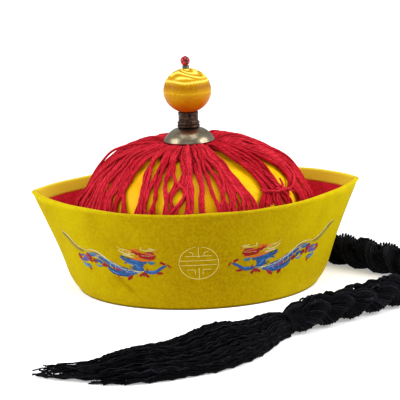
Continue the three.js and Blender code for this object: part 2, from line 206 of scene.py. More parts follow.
def bandCloth(finish):
    material, tree, shader = newMaterial("bandCloth", Specular_IOR_Level=0.02)
    place = objectPlace(tree)
    split = addNode(tree, "ShaderNodeSeparateXYZ", {0: place})
    shade, paleFleckAndHighlight = paint(finish["shade"]), paint(finish["paleFleckAndHighlight"])
    # painted light and shade: darker in the middle of the band, lighter towards its sides
    across = mathOf(tree, "ABSOLUTE", split.outputs[0])
    sideways = rangeOf(tree, across, finish["litSideFrom"] * mm, finish["litSideTo"] * mm)
    cloth = mixColours(tree, sideways, paint(finish["middle"]), paint(finish["side"]))
    blotches = noiseRange(tree, place, (26, 4, 0.6), 0.42, 0.72, 0.0, finish["blotches"])
    cloth = mixColours(tree, blotches, cloth, shade)
    slubs = noiseRange(tree, clothPlace(tree), (900, 3, 0.7), 0.35, 0.75, 0.0, finish["slubs"])
    cloth = mixColours(tree, slubs, cloth, shade)
    grain = noiseRange(tree, place, (450, 3, 0.7), 0.35, 0.7, 0.0, finish["grain"])
    cloth = mixColours(tree, grain, cloth, paleFleckAndHighlight)
    # painted highlight along the rolled top of the rim, where it catches the light
    rimHighlight = rangeOf(tree, split.outputs[2], finish["rimHighlightFrom"] * mm, finish["rimHighlightTo"] * mm)
    rimHighlight = mathOf(tree, "MULTIPLY", rimHighlight, noiseRange(tree, place, (160, 3), 0.3, 0.6, 0.4, 0.9))
    cloth = mixColours(tree, rimHighlight, cloth, paleFleckAndHighlight)
    # painted light on the facing inside the rim
    facing = mathOf(tree, "MULTIPLY", attributeOf(tree, "facingCloth"), finish["facingLightShare"])
    cloth = mixColours(tree, facing, cloth, paint(finish["facing"]))
    crease = mathOf(tree, "MULTIPLY", attributeOf(tree, "creaseShade"), finish["creaseShare"])
    cloth = mixColours(tree, crease, cloth, shade)
    weave = weaveHeight(tree, finish["warp"], finish["weft"])
    cloth = mixColours(tree, rangeOf(tree, weave, 0, 1, 0.22, 0), cloth, shade)
    # fine upright puckers beside the side seams, with painted shade in them, and a dark line of painted
    # shadow where the hem meets the floor
    aside = mathOf(tree, "ABSOLUTE", split.outputs[1])
    drift = finish["puckerDrift"] * mm
    shifted = mathOf(tree, "ADD", aside, noiseRange(tree, place, (60, 2), 0, 1, -drift, drift))
    nearSeam = rangeOf(tree, aside, 1 * mm, finish["puckerReach"] * mm, 1, 0)
    pucker = mathOf(tree, "MULTIPLY", waveOf(tree, shifted, finish["puckerPitch"]), nearSeam)
    # painted shade in the puckers
    cloth = mixColours(tree, mathOf(tree, "MULTIPLY", pucker, finish["puckerShadeShare"]), cloth, shade)
    # painted shadow: a dark line along the foot of the band where it meets the floor
    hemShadow = rangeOf(tree, split.outputs[2], finish["hemShadowFrom"] * mm, finish["hemShadowTo"] * mm, 0.85, 0)
    cloth = mixColours(tree, hemShadow, cloth, paint(finish["hem"]))
    normal = bumpOf(tree, noiseOf(tree, place, 420, 4, 0.6), 0.12)
    normal = bumpOf(tree, pucker, 0.35, normal)
    normal = bumpOf(tree, weave, 0.1, normal)
    roughness = noiseRange(tree, place, (60, 3), 0.3, 0.7, 0.7, 0.9)
    finishShader(tree, shader, cloth, normal, roughness)
    return material


# Red felt inside the band
liningFinish = {"nap": "#f42c46", "deep": "#c81a2e", "fuzz": 1500}


def liningFelt(finish):
    material, tree, shader = newMaterial("liningFelt", Roughness=1.0, Specular_IOR_Level=0.15)
    place = objectPlace(tree)
    tufts = noiseOf(tree, place, 240, 5, 0.7, 0.4)
    fuzz = noiseOf(tree, place, finish["fuzz"], 2, 0.8)
    felt = mixColours(tree, rangeOf(tree, tufts, 0.35, 0.7), paint(finish["deep"]), paint(finish["nap"]))
    normal = bumpOf(tree, fuzz, 0.25, bumpOf(tree, tufts, 0.5))
    finishShader(tree, shader, felt, normal)
    return material


# Yellow satin of the crown
satinFinish = {"lit": "#f7cc00", "deep": "#e0a000", "warp": 0.3, "weft": 1.1}


def crownSatin(finish):
    material, tree, shader = newMaterial("crownSatin", Specular_IOR_Level=0.08)
    place = objectPlace(tree)
    cloud = noiseRange(tree, place, (34, 3), 0.35, 0.7)
    satin = mixColours(tree, cloud, paint(finish["lit"]), paint(finish["deep"]))
    threads = weaveHeight(tree, finish["warp"], finish["weft"])
    satin = mixColours(tree, rangeOf(tree, threads, 0, 1, 0.18, 0), satin, paint(finish["deep"]))
    normal = bumpOf(tree, noiseOf(tree, place, 300, 3), 0.08)
    normal = bumpOf(tree, threads, 0.05, normal)
    roughness = noiseRange(tree, place, (90, 2), 0.3, 0.7, 0.36, 0.5)
    finishShader(tree, shader, satin, normal, roughness)
    return material


# Twisted yarns. Tone is a number for each yarn, and twist runs along and round it.
redYarnFinish = {
    "lit": "#da3040", "body": "#b31223", "deep": "#7c0710",
    "pitch": 5.2, "plies": 3, "relief": 0.16, "contrast": 1, "sheen": 0.12,
}
blackYarnFinish = {
    "lit": "#25252c", "body": "#060608", "deep": "#010102",
    "pitch": 4.4, "plies": 2, "relief": 0.2, "contrast": 3, "sheen": 0.02,
}
tieYarnFinish = {
    "lit": "#17171c", "body": "#0b0b0e", "deep": "#030304",
    "pitch": 2.4, "plies": 3, "relief": 0.12, "contrast": 1, "sheen": 0.02,
}


def yarnMaterial(name, finish):
    material, tree, shader = newMaterial(
        name, Roughness=0.95, Specular_IOR_Level=0.06,
        Sheen_Weight=finish["sheen"], Sheen_Roughness=0.5, Sheen_Tint=paint(finish["lit"]),
    )
    along = attributeOf(tree, "threadAlong")
    section = addNode(tree, "ShaderNodeSeparateXYZ", {0: attributeOf(tree, "threadRound", "Vector")})
    angle = mathOf(tree, "ARCTAN2", section.outputs[1], section.outputs[0])
    turns = mathOf(tree, "MULTIPLY", along, 2 * math.pi / (finish["pitch"] * mm))
    phase = mathOf(tree, "ADD", mathOf(tree, "MULTIPLY", angle, finish["plies"]), turns)
    ply = rangeOf(tree, mathOf(tree, "SINE", phase), -1, 1)
    tone = mathOf(tree, "POWER", attributeOf(tree, "threadTone"), finish["contrast"])
    place = objectPlace(tree)
    fibre = noiseOf(tree, place, 1800, 2, 0.7)
    yarn = mixColours(tree, tone, paint(finish["body"]), paint(finish["lit"]))
    streaks = noiseRange(tree, place, (130, 3), 0.42, 0.72, 0, 0.6)
    yarn = mixColours(tree, streaks, yarn, paint(finish["deep"]))
    # painted shade in the grooves between the plies
    groove = rangeOf(tree, ply, 0, 0.7, 0.55, 0)
    yarn = mixColours(tree, groove, yarn, paint(finish["deep"]))
    normal = bumpOf(tree, ply, finish["relief"], bumpOf(tree, fibre, 0.12))
    finishShader(tree, shader, yarn, normal)
    return material


# Metals and lacquer of the finial
metalFinishes = {
    "pewter": {
        "clean": "#8f8571", "tarnish": "#5e5340", "low": 0.24, "high": 0.4, "grain": 0.015, "spots": 150,
    },
    "darkMetal": {
        "clean": "#4c3a30", "tarnish": "#1b1411", "low": 0.32, "high": 0.6, "grain": 0.1, "spots": 260,
    },
    "greyMetal": {
        "clean": "#6a6c66", "tarnish": "#34342f", "low": 0.25, "high": 0.45, "grain": 0.03, "spots": 500,
    },
}


def agedMetal(name, finish):
    material, tree, shader = newMaterial(name, Metallic=1.0)
    place = objectPlace(tree)
    patches = rangeOf(tree, noiseOf(tree, place, finish["spots"], 5, 0.65, 0.6), 0.4, 0.68)
    pits = noiseOf(tree, place, finish["spots"] * 7, 3, 0.7)
    metal = mixColours(tree, patches, paint(finish["clean"]), paint(finish["tarnish"]))
    roughness = rangeOf(tree, patches, 0, 1, finish["low"], finish["high"])
    normal = bumpOf(tree, pits, finish["grain"], bumpOf(tree, patches, finish["grain"]))
    finishShader(tree, shader, metal, normal, roughness)
    return material


# Golden thread wound over the ball: painted shade makes it brown in the hollows, a painted highlight makes
# it pale on the raised courses and over the top, and a painted reflection of the red fringe makes it orange
# at the foot
silkFinish = {
    "brown": "#8c5000", "gold": "#c49400", "pale": "#f2e064", "foot": "#b84802",
    "footFull": 142, "footEnds": 155, "mottle": 0.14, "wobble": 2.5,
}


def silkThread(finish):
    material, tree, shader = newMaterial("silkThread", Specular_IOR_Level=0.08)
    place = objectPlace(tree)
    split = addNode(tree, "ShaderNodeSeparateXYZ", {0: place})
    tone = attributeOf(tree, "windingTone")
    mottle = noiseRange(tree, place, (700, 3, 0.7), 0.3, 0.7, -finish["mottle"], finish["mottle"])
    tone = mathOf(tree, "ADD", tone, mottle)
    silk = mixColours(tree, rangeOf(tree, tone, 0, 0.5), paint(finish["brown"]), paint(finish["gold"]))
    silk = mixColours(tree, rangeOf(tree, tone, 0.5, 1), silk, paint(finish["pale"]))
    # painted reflection of the red fringe: the thread turns orange towards the foot of the ball
    reach = finish["wobble"] * mm
    wobble = noiseRange(tree, place, (90, 3), 0.3, 0.7, -reach, reach)
    height = mathOf(tree, "ADD", split.outputs[2], wobble)
    redReflection = rangeOf(tree, height, finish["footFull"] * mm, finish["footEnds"] * mm, 0.95, 0)
    silk = mixColours(tree, redReflection, silk, paint(finish["foot"]))
    # painted shade between the turns of thread
    strand = attributeOf(tree, "windingThread")
    silk = mixColours(tree, rangeOf(tree, strand, 0, 0.6, 0.3, 0), silk, paint(finish["brown"]))
    normal = bumpOf(tree, noiseOf(tree, place, 900, 2), 0.06)
    roughness = rangeOf(tree, strand, 0, 1, 0.55, 0.36)
    finishShader(tree, shader, silk, normal, roughness)
    return material


# Glossy red lacquer of the bead
lacquerFinish = {"lit": "#c20e1a", "deep": "#4c0206"}


def redLacquer(finish):
    material, tree, shader = newMaterial(
        "redLacquer", Roughness=0.1, Specular_IOR_Level=0.25, Coat_Weight=0.3, Coat_Roughness=0.03
    )
    place = objectPlace(tree)
    depth = noiseRange(tree, place, (420, 2), 0.42, 0.56)
    lacquer = mixColours(tree, depth, paint(finish["lit"]), paint(finish["deep"]))
    finishShader(tree, shader, lacquer, bumpOf(tree, noiseOf(tree, place, 700, 2), 0.02))
    return material


def embroiderySilk():
    material, tree, shader = newMaterial("embroiderySilk", Roughness=0.5, Specular_IOR_Level=0.2)
    place = objectPlace(tree)
    silk = attributeOf(tree, "threadColour", "Color")
    strands = noiseOf(tree, place, 2400, 2, 0.6)
    silk = mixColours(tree, rangeOf(tree, strands, 0.3, 0.7, 0.3, 0), silk, paint("#1a1208"))
    finishShader(tree, shader, silk, bumpOf(tree, strands, 0.06))
    return material


def floorPaper():
    material, tree, shader = newMaterial(
        "floorPaper", Roughness=0.9, Specular_IOR_Level=0.1,
        Emission_Color=paint("#ffffff"), Emission_Strength=0.35,
    )
    fibre = noiseRange(tree, objectPlace(tree), (8, 2), 0.3, 0.7)
    finishShader(tree, shader, mixColours(tree, fibre, paint("#f7f7f7"), paint("#f4f4f3")))
    return material


# Studio: a pale floor, and soft lights given in metres and watts
studio = {
    "floorHalf": 6.0,
    "world": 0.62,
    "aim": (0, 0, 0.08),
    "lights": [
        {"name": "lightAbove", "place": (0, -0.1, 1.8), "size": 1.6, "power": 12},
        {"name": "lightLeft", "place": (-1.5, -0.3, 0.95), "size": 1.2, "power": 18.5},
        {"name": "lightRight", "place": (1.5, -0.3, 0.95), "size": 1.2, "power": 23.5},
    ],
}


def addStudio(plan):
    half = plan["floorHalf"]
    mesh = bpy.data.meshes.new("studioFloor")
    corners = [(-half, -half, 0), (half, -half, 0), (half, half, 0), (-half, half, 0)]
    mesh.from_pydata(corners, [], [(0, 1, 2, 3)])
    mesh.materials.append(floorPaper())
    floor = bpy.data.objects.new("studioFloor", mesh)
    bpy.context.scene.collection.objects.link(floor)
    world = bpy.data.worlds.new("studioWorld")
    world.use_nodes = True
    world.node_tree.nodes["Background"].inputs[0].default_value = (1, 1, 1, 1)
    world.node_tree.nodes["Background"].inputs[1].default_value = plan["world"]
    bpy.context.scene.world = world
    for row in plan["lights"]:
        lamp = bpy.data.lights.new(row["name"], "AREA")
        lamp.shape = "DISK"
        lamp.size = row["size"]
        lamp.energy = row["power"]
        light = bpy.data.objects.new(row["name"], lamp)
        light.location = row["place"]
        aim = Vector(plan["aim"]) - Vector(row["place"])
        light.rotation_euler = aim.to_track_quat("-Z", "Y").to_euler()
        bpy.context.scene.collection.objects.link(light)
    bpy.context.scene.view_settings.view_transform = "Standard"


addCamera(photoView)
addStudio(studio)
print("mandarin hat: camera, floor and lights")


def linkPiece(name, mesh):
    piece = bpy.data.objects.new(name, mesh)
    bpy.context.scene.collection.objects.link(piece)
    return piece


def readyPiece(piece, slotName, *nodes):
    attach(piece, "root")
    if nodes:
        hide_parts(*nodes)
    return piece


def signedVolume(mesh):
    mesh.calc_loop_triangles()
    points = np.zeros(len(mesh.vertices) * 3)
    mesh.vertices.foreach_get("co", points)
    corners = np.zeros(len(mesh.loop_triangles) * 3, int)
    mesh.loop_triangles.foreach_get("vertices", corners)
    triangles = points.reshape(-1, 3)[corners].reshape(-1, 3, 3)
    return np.einsum("ij,ij->i", triangles[:, 0], np.cross(triangles[:, 1], triangles[:, 2])).sum()


def faceOutward(mesh):
    if signedVolume(mesh) < 0:
        mesh.flip_normals()


# Keeps one value for each point of a mesh, for its shader or its node tree
def keepOnPoints(mesh, name, values, kind="FLOAT", field="value"):
    mesh.attributes.new(name, kind, "POINT").data.foreach_set(field, np.array(values, float).ravel())


# Skin over a grid of points in millimetres, with a map of the distances over it. A grid that is closed both
# ways is a ring, and caps close the first and last column of one that isn't.
def gridPiece(name, grid, material, closedRows=False, closedColumns=False, caps=False, sharpAngle=None):
    rows, columns = grid.shape[:2]
    wide = np.concatenate([grid, grid[:, :1]], axis=1) if closedColumns else grid
    tall = np.concatenate([wide, wide[:1]], axis=0) if closedRows else wide
    across = np.linalg.norm(np.diff(tall, axis=1), axis=2).mean(axis=0)
    upward = np.linalg.norm(np.diff(tall, axis=0), axis=2).mean(axis=1)
    u = np.concatenate([[0], np.cumsum(across)]) * mm
    v = np.concatenate([[0], np.cumsum(upward)]) * mm
    faces, clothMap = [], []
    steps = ((0, 0), (1, 0), (1, 1), (0, 1))
    for row in range(rows if closedRows else rows - 1):
        for column in range(columns if closedColumns else columns - 1):
            faces.append([(row + up) % rows * columns + (column + right) % columns for right, up in steps])
            clothMap += [(u[column + right], v[row + up]) for right, up in steps]
    if caps:
        for column, order in ((0, 1), (columns - 1, -1)):
            faces.append(tuple(row * columns + column for row in range(rows))[::order])
            clothMap += [(u[column], v[row]) for row in range(rows)][::order]
    mesh = bpy.data.meshes.new(name)
    mesh.from_pydata((grid.reshape(-1, 3) * mm).tolist(), [], faces)
    layer = mesh.uv_layers.new(name="clothMap")
    layer.data.foreach_set("uv", np.array(clothMap, float).ravel())
    mesh.materials.append(material)
    faceOutward(mesh)
    mesh.shade_smooth()
    if sharpAngle:
        mesh.set_sharp_from_angle(angle=math.radians(sharpAngle))
    return linkPiece(name, mesh)


# Geometry Nodes trees: named inputs given as label and kind, and one output of geometry
def startTree(name, inputs, output):
    tree = bpy.data.node_groups.new(name, "GeometryNodeTree")
    for label, kind in inputs.items():
        tree.interface.new_socket(label, in_out="INPUT", socket_type=f"NodeSocket{kind}")
    tree.interface.new_socket(output, in_out="OUTPUT", socket_type="NodeSocketGeometry")
    return tree, addNode(tree, "NodeGroupInput").outputs


def geometryOf(tree, kind, inputs, **settings):
    return addNode(tree, f"GeometryNode{kind}", inputs, **settings).outputs[0]


def storedOnPoints(tree, name, kind):  # reads an attribute of the points
    return geometryOf(tree, "InputNamedAttribute", {"Name": name}, data_type=kind)


def finishTree(tree, geometry, finish):
    geometry = geometryOf(tree, "SetShadeSmooth", {"Geometry": geometry})
    geometry = geometryOf(tree, "RealizeInstances", {"Geometry": geometry})
    geometry = geometryOf(tree, "SetMaterial", {"Geometry": geometry, "Material": finish})
    addNode(tree, "NodeGroupOutput", {0: geometry})
    return tree


# A round strand along every line of a mesh of edges
def buildStrandTree():
    sockets = {"Lines": "Geometry", "Sides": "Int", "Thickness": "Float", "Finish": "Material"}
    tree, given = startTree("strandsAlongLines", sockets, "Strands")

    def stored(geometry, name, value, kind):
        values = {"Geometry": geometry, "Name": name, "Value": value}
        return geometryOf(tree, "StoreNamedAttribute", values, data_type=kind, domain="POINT")

    lines = geometryOf(tree, "MeshToCurve", {"Mesh": given["Lines"]})
    length = addNode(tree, "GeometryNodeSplineParameter").outputs["Length"]
    lines = stored(lines, "threadAlong", length, "FLOAT")
    profile = geometryOf(tree, "CurvePrimitiveCircle", {"Resolution": given["Sides"], "Radius": 1.0})
    profile = stored(profile, "threadRound", geometryOf(tree, "InputPosition", {}), "FLOAT_VECTOR")
    radius = storedOnPoints(tree, "strandRadius", "FLOAT")
    scale = mathOf(tree, "MULTIPLY", radius, given["Thickness"])
    sweep = {"Curve": lines, "Profile Curve": profile, "Scale": scale, "Fill Caps": True}
    return finishTree(tree, geometryOf(tree, "CurveToMesh", sweep), given["Finish"])


# One small arched stitch on every point of a mesh, turned along it
def buildStitchTree():
    sockets = {"Places": "Geometry", "Stitch": "Object", "Finish": "Material"}
    tree, given = startTree("stitchesOnPoints", sockets, "Stitches")
    shape = addNode(tree, "GeometryNodeObjectInfo", {"Object": given["Stitch"]}).outputs["Geometry"]
    names = ("stitchUp", "stitchAlong", "stitchSize")
    up, along, size = (storedOnPoints(tree, name, "FLOAT_VECTOR") for name in names)
    turn = addNode(
        tree, "FunctionNodeAxesToRotation", {"Primary Axis": up, "Secondary Axis": along},
        primary_axis="Z", secondary_axis="X",
    ).outputs[0]
    values = {"Points": given["Places"], "Instance": shape, "Rotation": turn, "Scale": size}
    return finishTree(tree, geometryOf(tree, "InstanceOnPoints", values), given["Finish"])


# Short loose fibres that stand on a surface, each turned and sized at random from a fixed seed
def buildFibreTree():
    sockets = {
        "Surface": "Geometry", "Fibre": "Object", "Density": "Float", "Seed": "Int", "Finish": "Material",
    }
    tree, given = startTree("fibresOnSurface", sockets, "Fibres")
    scatter = {"Mesh": given["Surface"], "Density": given["Density"], "Seed": given["Seed"]}
    spots = addNode(tree, "GeometryNodeDistributePointsOnFaces", scatter).outputs
    angle = addNode(tree, "FunctionNodeRandomValue", {2: 0.0, 3: 2 * math.pi, "Seed": 1}, data_type="FLOAT")
    size = addNode(tree, "FunctionNodeRandomValue", {2: 0.5, 3: 1.25, "Seed": 2}, data_type="FLOAT")
    spin = addNode(tree, "FunctionNodeAxisAngleToRotation", {"Axis": (0, 0, 1), "Angle": angle.outputs[1]})
    turned = addNode(
        tree, "FunctionNodeRotateRotation",
        {"Rotation": spots["Rotation"], "Rotate By": spin.outputs[0]}, rotation_space="LOCAL",
    ).outputs[0]
    shape = addNode(tree, "GeometryNodeObjectInfo", {"Object": given["Fibre"]}).outputs["Geometry"]
    values = {"Points": spots["Points"], "Instance": shape, "Rotation": turned, "Scale": size.outputs[1]}
    return finishTree(tree, geometryOf(tree, "InstanceOnPoints", values), given["Finish"])


def growNodes(piece, tree, **values):  # runs the tree on the piece and keeps the result as its plain mesh
    modifier = piece.modifiers.new(tree.name, "NODES")
    modifier.node_group = tree
    for item in tree.interface.items_tree:
        if item.in_out == "INPUT" and item.name in values:
            modifier[item.identifier] = values[item.name]
    depsgraph = bpy.context.evaluated_depsgraph_get()
    made = bpy.data.meshes.new_from_object(
        piece.evaluated_get(depsgraph), preserve_all_data_layers=True, depsgraph=depsgraph
    )
    piece.modifiers.clear()
    lines = piece.data
    piece.data = made
    bpy.data.meshes.remove(lines)
    made.name = piece.name
    return piece


# lines holds (points in millimetres, radius or radii, tone) for each strand
def strandPiece(name, lines, tree, material, sides, thickness=1.0):
    points, edges, radii, tones = [], [], [], []
    for line, radius, tone in lines:
        start = len(points)
        points += (np.asarray(line) * mm).tolist()
        edges += [(start + step, start + step + 1) for step in range(len(line) - 1)]
        radii += (np.broadcast_to(radius, len(line)) * mm).tolist()
        tones += [tone] * len(line)
    mesh = bpy.data.meshes.new(name)
    mesh.from_pydata(points, edges, [])
    keepOnPoints(mesh, "strandRadius", radii)
    keepOnPoints(mesh, "threadTone", tones)
    piece = linkPiece(name, mesh)
    return growNodes(piece, tree, Sides=sides, Thickness=thickness, Finish=material)


# stitches holds (place, along, up, size, colour), in millimetres, for each stitch
def stitchPiece(name, stitches, tree, shape, material):
    mesh = bpy.data.meshes.new(name)
    mesh.from_pydata([(np.array(row[0]) * mm).tolist() for row in stitches], [], [])
    for key, index, scale in (("stitchAlong", 1, 1), ("stitchUp", 2, 1), ("stitchSize", 3, mm)):
        values = np.array([row[index] for row in stitches], float) * scale
        keepOnPoints(mesh, key, values, "FLOAT_VECTOR", "vector")
    keepOnPoints(mesh, "threadColour", [row[4] for row in stitches], "FLOAT_COLOR", "color")
    piece = linkPiece(name, mesh)
    return growNodes(piece, tree, Stitch=shape, Finish=material)


strandTree = buildStrandTree()
stitchTree = buildStitchTree()
fibreTree = buildFibreTree()

# Band: the hem is an oval, the rim comes to a point at each side seam. Turn runs from -90 at the left seam
# to 90 degrees at the right one, and depth goes into the cloth from its outer face.
band = {
    "hemHalfWidth": 96.5,
    "hemHalfDepth": 97.5,
    "rimHalfWidth": 132,
    "rimHalfDepth": 99.8,
    "rimPlanPower": 1.5,
    "rimHeight": {"front": 74.8, "back": 78.2, "corner": 79.6},
    "rightCornerRise": 0.8,
    "sideBulge": 2.4,
    "bulgeAt": 0.15,
    "thickness": 3.2,
    "cornerThickness": 3.6,
    "panelThickness": 1.6,
    "facingDepth": 9.9,
    "seamGap": 0.3,
    "backPhase": 1.7,
    "seamWidth": 1.1,
    "seamDepth": 0.4,
    "rollBulge": {"below": 1.6, "width": 1.3, "lift": 0.3},
    "rollGroove": {"below": 4.2, "width": 0.8, "lift": -0.25},
    "columns": 200,
    "outerRows": 46,
    "liningThickness": 1.3,
    "liningClearance": 0.3,
    "liningHem": 0.6,
}

# Soft waves of the cloth: turns round the panel, phase and depth
bandWaves = [
    {"around": 5.0, "phase": 0.6, "depth": 0.4},
    {"around": 9.0, "phase": 2.1, "depth": 0.26},
    {"around": 17.0, "phase": 4.0, "depth": 0.13},
]

# A crease at the left of the front, from one end to the other, across and up
bandCrease = {"from": (-70, 27), "to": (-47, 10), "width": 1.6, "depth": 1.15, "bow": 1.2, "ridge": 0.7}


def smoothStep(low, high, value):
    share = np.clip((value - low) / (high - low), 0, 1)
    return share * share * (3 - 2 * share)


def bell(value, middle, width):  # 1 in the middle, fading to nothing on both sides
    return np.exp(-(((value - middle) / width) ** 2))


def rimHeightAt(turn, side):
    towardsCorner = np.abs(np.sin(turn)) ** 3
    heights = band["rimHeight"]
    corner = heights["corner"] + np.where(np.asarray(turn) > 0, band["rightCornerRise"], 0)
    return heights[side] * (1 - towardsCorner) + corner * towardsCorner


def bandHalfWidth(height, rim, depth=0.0):
    rise = height / rim
    inward = depth / band["thickness"] * band["cornerThickness"]
    low = np.maximum(rise, 0) / band["bulgeAt"]
    bulge = band["sideBulge"] * (low * np.exp(1 - low)) ** 2
    return (band["hemHalfWidth"] - depth) * (1 - rise) + (band["rimHalfWidth"] - inward) * rise + bulge


def bandPlace(turn, side, height, depth=0.0):
    turn, height, depth = np.broadcast_arrays(np.asarray(turn, float), height, depth)
    rim = rimHeightAt(turn, side)
    rise = height / rim
    along = np.maximum(np.cos(turn), 0)
    x = bandHalfWidth(height, rim, depth) * np.sin(turn)
    hemY = (band["hemHalfDepth"] - depth) * along
    rimY = (band["rimHalfDepth"] - depth) * along ** band["rimPlanPower"]
    facing = -1 if side == "front" else 1
    halfGap = band["seamGap"] / 2
    y = halfGap + (hemY * (1 - rise) + rimY * rise) * (1 - halfGap / band["hemHalfDepth"])
    return np.stack([x, facing * y, height], axis=-1)


def creaseAt(turn, height):  # how strongly the crease shows, and how far above its line a place is
    x = bandHalfWidth(height, rimHeightAt(turn, "front")) * np.sin(turn)
    (fromX, fromZ), (toX, toZ) = bandCrease["from"], bandCrease["to"]
    length = math.hypot(toX - fromX, toZ - fromZ)
    ahead = ((x - fromX) * (toX - fromX) + (height - fromZ) * (toZ - fromZ)) / length
    aside = ((height - fromZ) * (toX - fromX) - (x - fromX) * (toZ - fromZ)) / length
    aside = aside - bandCrease["bow"] * np.sin(np.pi * ahead / length)
    fade = smoothStep(0, 0.35 * length, ahead) * (1 - smoothStep(0.7 * length, length, ahead))
    return fade, aside


def clothWave(turn, side, height):  # how far the outer face stands out of its plain shape
    rise = height / rimHeightAt(turn, side)
    bulge = np.sin(np.pi * np.clip(rise, 0, 1))
    lift = 0
    for row in bandWaves:
        shift = row["phase"] + (0 if side == "front" else band["backPhase"]) + 1.3 * rise
        lift = lift + row["depth"] * bulge * np.sin(row["around"] * turn + shift)
    if side == "front":
        fade, aside = creaseAt(turn, height)
        fold = bandCrease["ridge"] * bell(aside, 2.2, 1.6) - bell(aside, 0, bandCrease["width"])
        lift = lift + bandCrease["depth"] * fade * fold
    seam = bell((np.pi / 2 - np.abs(turn)) * 60, 0, band["seamWidth"])
    return lift - band["seamDepth"] * seam


def bandOutward(turn, side, height):
    step = 1e-3
    sideways = bandPlace(turn + step, side, height) - bandPlace(turn - step, side, height)
    upward = bandPlace(turn, side, height + 0.5) - bandPlace(turn, side, height - 0.5)
    outward = np.cross(sideways, upward)
    if side == "back":
        outward = -outward
    return outward / np.linalg.norm(outward, axis=-1, keepdims=True)


def arcRows(centre, radius, start, end, count):  # height and depth of points round a rounded edge
    turns = np.radians(np.linspace(start, end, count))
    return [(centre[0] + radius * math.sin(t), centre[1] - radius * math.cos(t)) for t in turns]


# Section of a panel as rows of share of the rim's height, height beyond that and depth
def panelRows():
    thick, thin, facing = band["thickness"], band["panelThickness"], band["facingDepth"]
    rolled, folded, hem = thick / 2, (thick - thin) / 2, thin / 2
    rows = []
    rows += [(share, 0.0, 0.0) for share in np.linspace(0, 1, band["outerRows"])]
    rows += [(1.0, up, depth) for up, depth in arcRows((0, rolled), rolled, 0, 180, 13)[1:]]
    rows += [(1.0, -down, thick) for down in np.linspace(0, facing - folded - rolled, 9)[1:]]
    turned = arcRows((-facing + rolled + folded, thick - folded), folded, 180, 270, 5)
    rows += [(1.0, up, depth) for up, depth in turned[1:]]
    rows += [(share, 0.0, thin) for share in np.linspace(0.82, 0, 12)]
    rows += [(0.0, up, depth) for up, depth in arcRows((0, hem), hem, 180, 360, 7)[1:-1]]
    return rows


def bandPanel(side, material):
    turns = np.linspace(-1, 1, band["columns"] + 1)
    turns = np.sign(turns) * (1 - (1 - np.abs(turns)) ** 1.15) * np.pi / 2
    rim = rimHeightAt(turns, side)
    rimWave = 0.3 * np.sin(7 * turns + 0.8) * np.cos(turns) + 0.18 * np.sin(16 * turns) * np.cos(turns)
    rolled, hem = band["thickness"] / 2, band["panelThickness"] / 2
    rows, shades = [], []
    for share, up, depth in panelRows():
        height = hem + share * (rim + rimWave - rolled - hem) + up
        place = bandPlace(turns, side, height, depth)
        faceShare = max(0.0, 1 - depth / band["panelThickness"])
        fuller = 1 + np.abs(np.sin(turns)) ** 6
        lift = clothWave(turns, side, height)
        for roll in (band["rollBulge"], band["rollGroove"]):
            lift = lift + roll["lift"] * fuller * bell(height - rim, -roll["below"], roll["width"])
        lift = lift * faceShare
        rows.append(place + bandOutward(turns, side, height) * lift[:, None])
        fade, aside = creaseAt(turns, height)
        shades.append(fade * bell(aside, -0.5, 1.9) * faceShare * (side == "front"))
    piece = gridPiece(f"band_{side}", np.array(rows), material, closedRows=True, caps=True)
    # marks the facing rows, where the painted light goes
    inside = [float(depth > 1.01 * band["panelThickness"]) for _, _, depth in panelRows()]
    keepOnPoints(piece.data, "creaseShade", shades)
    keepOnPoints(piece.data, "facingCloth", np.repeat(inside, len(turns)))
    return piece


def bandLining(material):
    outer = band["panelThickness"] + band["liningClearance"]
    inner = outer + band["liningThickness"]
    foot = band["liningHem"]
    columns = []
    for side in ("front", "back"):
        span = np.linspace(-90, 90, 161) if side == "front" else np.linspace(90, -90, 161)
        for turn in np.radians(span):
            top = rimHeightAt(turn, side) - band["facingDepth"] - band["liningClearance"]
            nap = 0.12 * math.sin(23 * turn) + 0.08 * math.sin(57 * turn)
            section = [(height, outer) for height in np.linspace(foot, top, 16)] + [(top, inner)]
            for height in np.linspace(top, foot, 24)[1:]:
                section.append((height, inner + nap * math.sin(math.pi * height / top)))
            columns.append([bandPlace(turn, side, height, depth) for height, depth in section])
    grid = np.array(columns).transpose(1, 0, 2)
    return gridPiece("band_lining", grid, material, closedRows=True, closedColumns=True, sharpAngle=50)


bandMaterial = bandCloth(bandFinish)
liningMaterial = liningFelt(liningFinish)
for panelSide in ("front", "back"):
    readyPiece(bandPanel(panelSide, bandMaterial), "band_cloth", f"brim_{panelSide}")
readyPiece(bandLining(liningMaterial), "lining_felt", "brim_lining")
print("mandarin hat: band and lining")

# Crown: a squared dome on a nearly straight wall. A station is 90 degrees at the top and 0 at the shoulder.
crown = {
    "halfWidth": 88,
    "hemHalfWidth": 92.5,
    "hemFlare": 1.3,
    "depthRatio": 1.012,
    "shoulder": 62,
    "rise": 50.5,
    "power": 2.3,
    "wall": 1.8,
    "lean": -3.4,
    "leanPower": 12,
    "hole": 2.0,
    "columns": 224,
    "folds": 44,
    "foldDepth": 0.28,
    "waveDepth": 0.2,
}


def crownProfile(station, lift=0.0):
    turn = np.radians(station)
    flat = np.cos(turn) ** (2 / crown["power"])
    tall = np.sin(turn) ** (2 / crown["power"])
    slopeOut = flat ** (crown["power"] - 1) / crown["halfWidth"]
    slopeUp = tall ** (crown["power"] - 1) / crown["rise"]
    length = np.hypot(slopeOut, slopeUp)
    radius = crown["halfWidth"] * flat + lift * slopeOut / length
    height = crown["shoulder"] + crown["rise"] * tall + lift * slopeUp / length
    return radius, height


def crownPlace(angle, radius, height):
    insideTop = crown["shoulder"] + crown["rise"] - crown["wall"]
    lean = crown["lean"] * np.clip(np.asarray(height) / insideTop, 0, 1) ** crown["leanPower"]
    x = lean + radius * np.sin(angle)
    y = -crown["depthRatio"] * radius * np.cos(angle)
    return np.stack(np.broadcast_arrays(x, y, height), axis=-1)


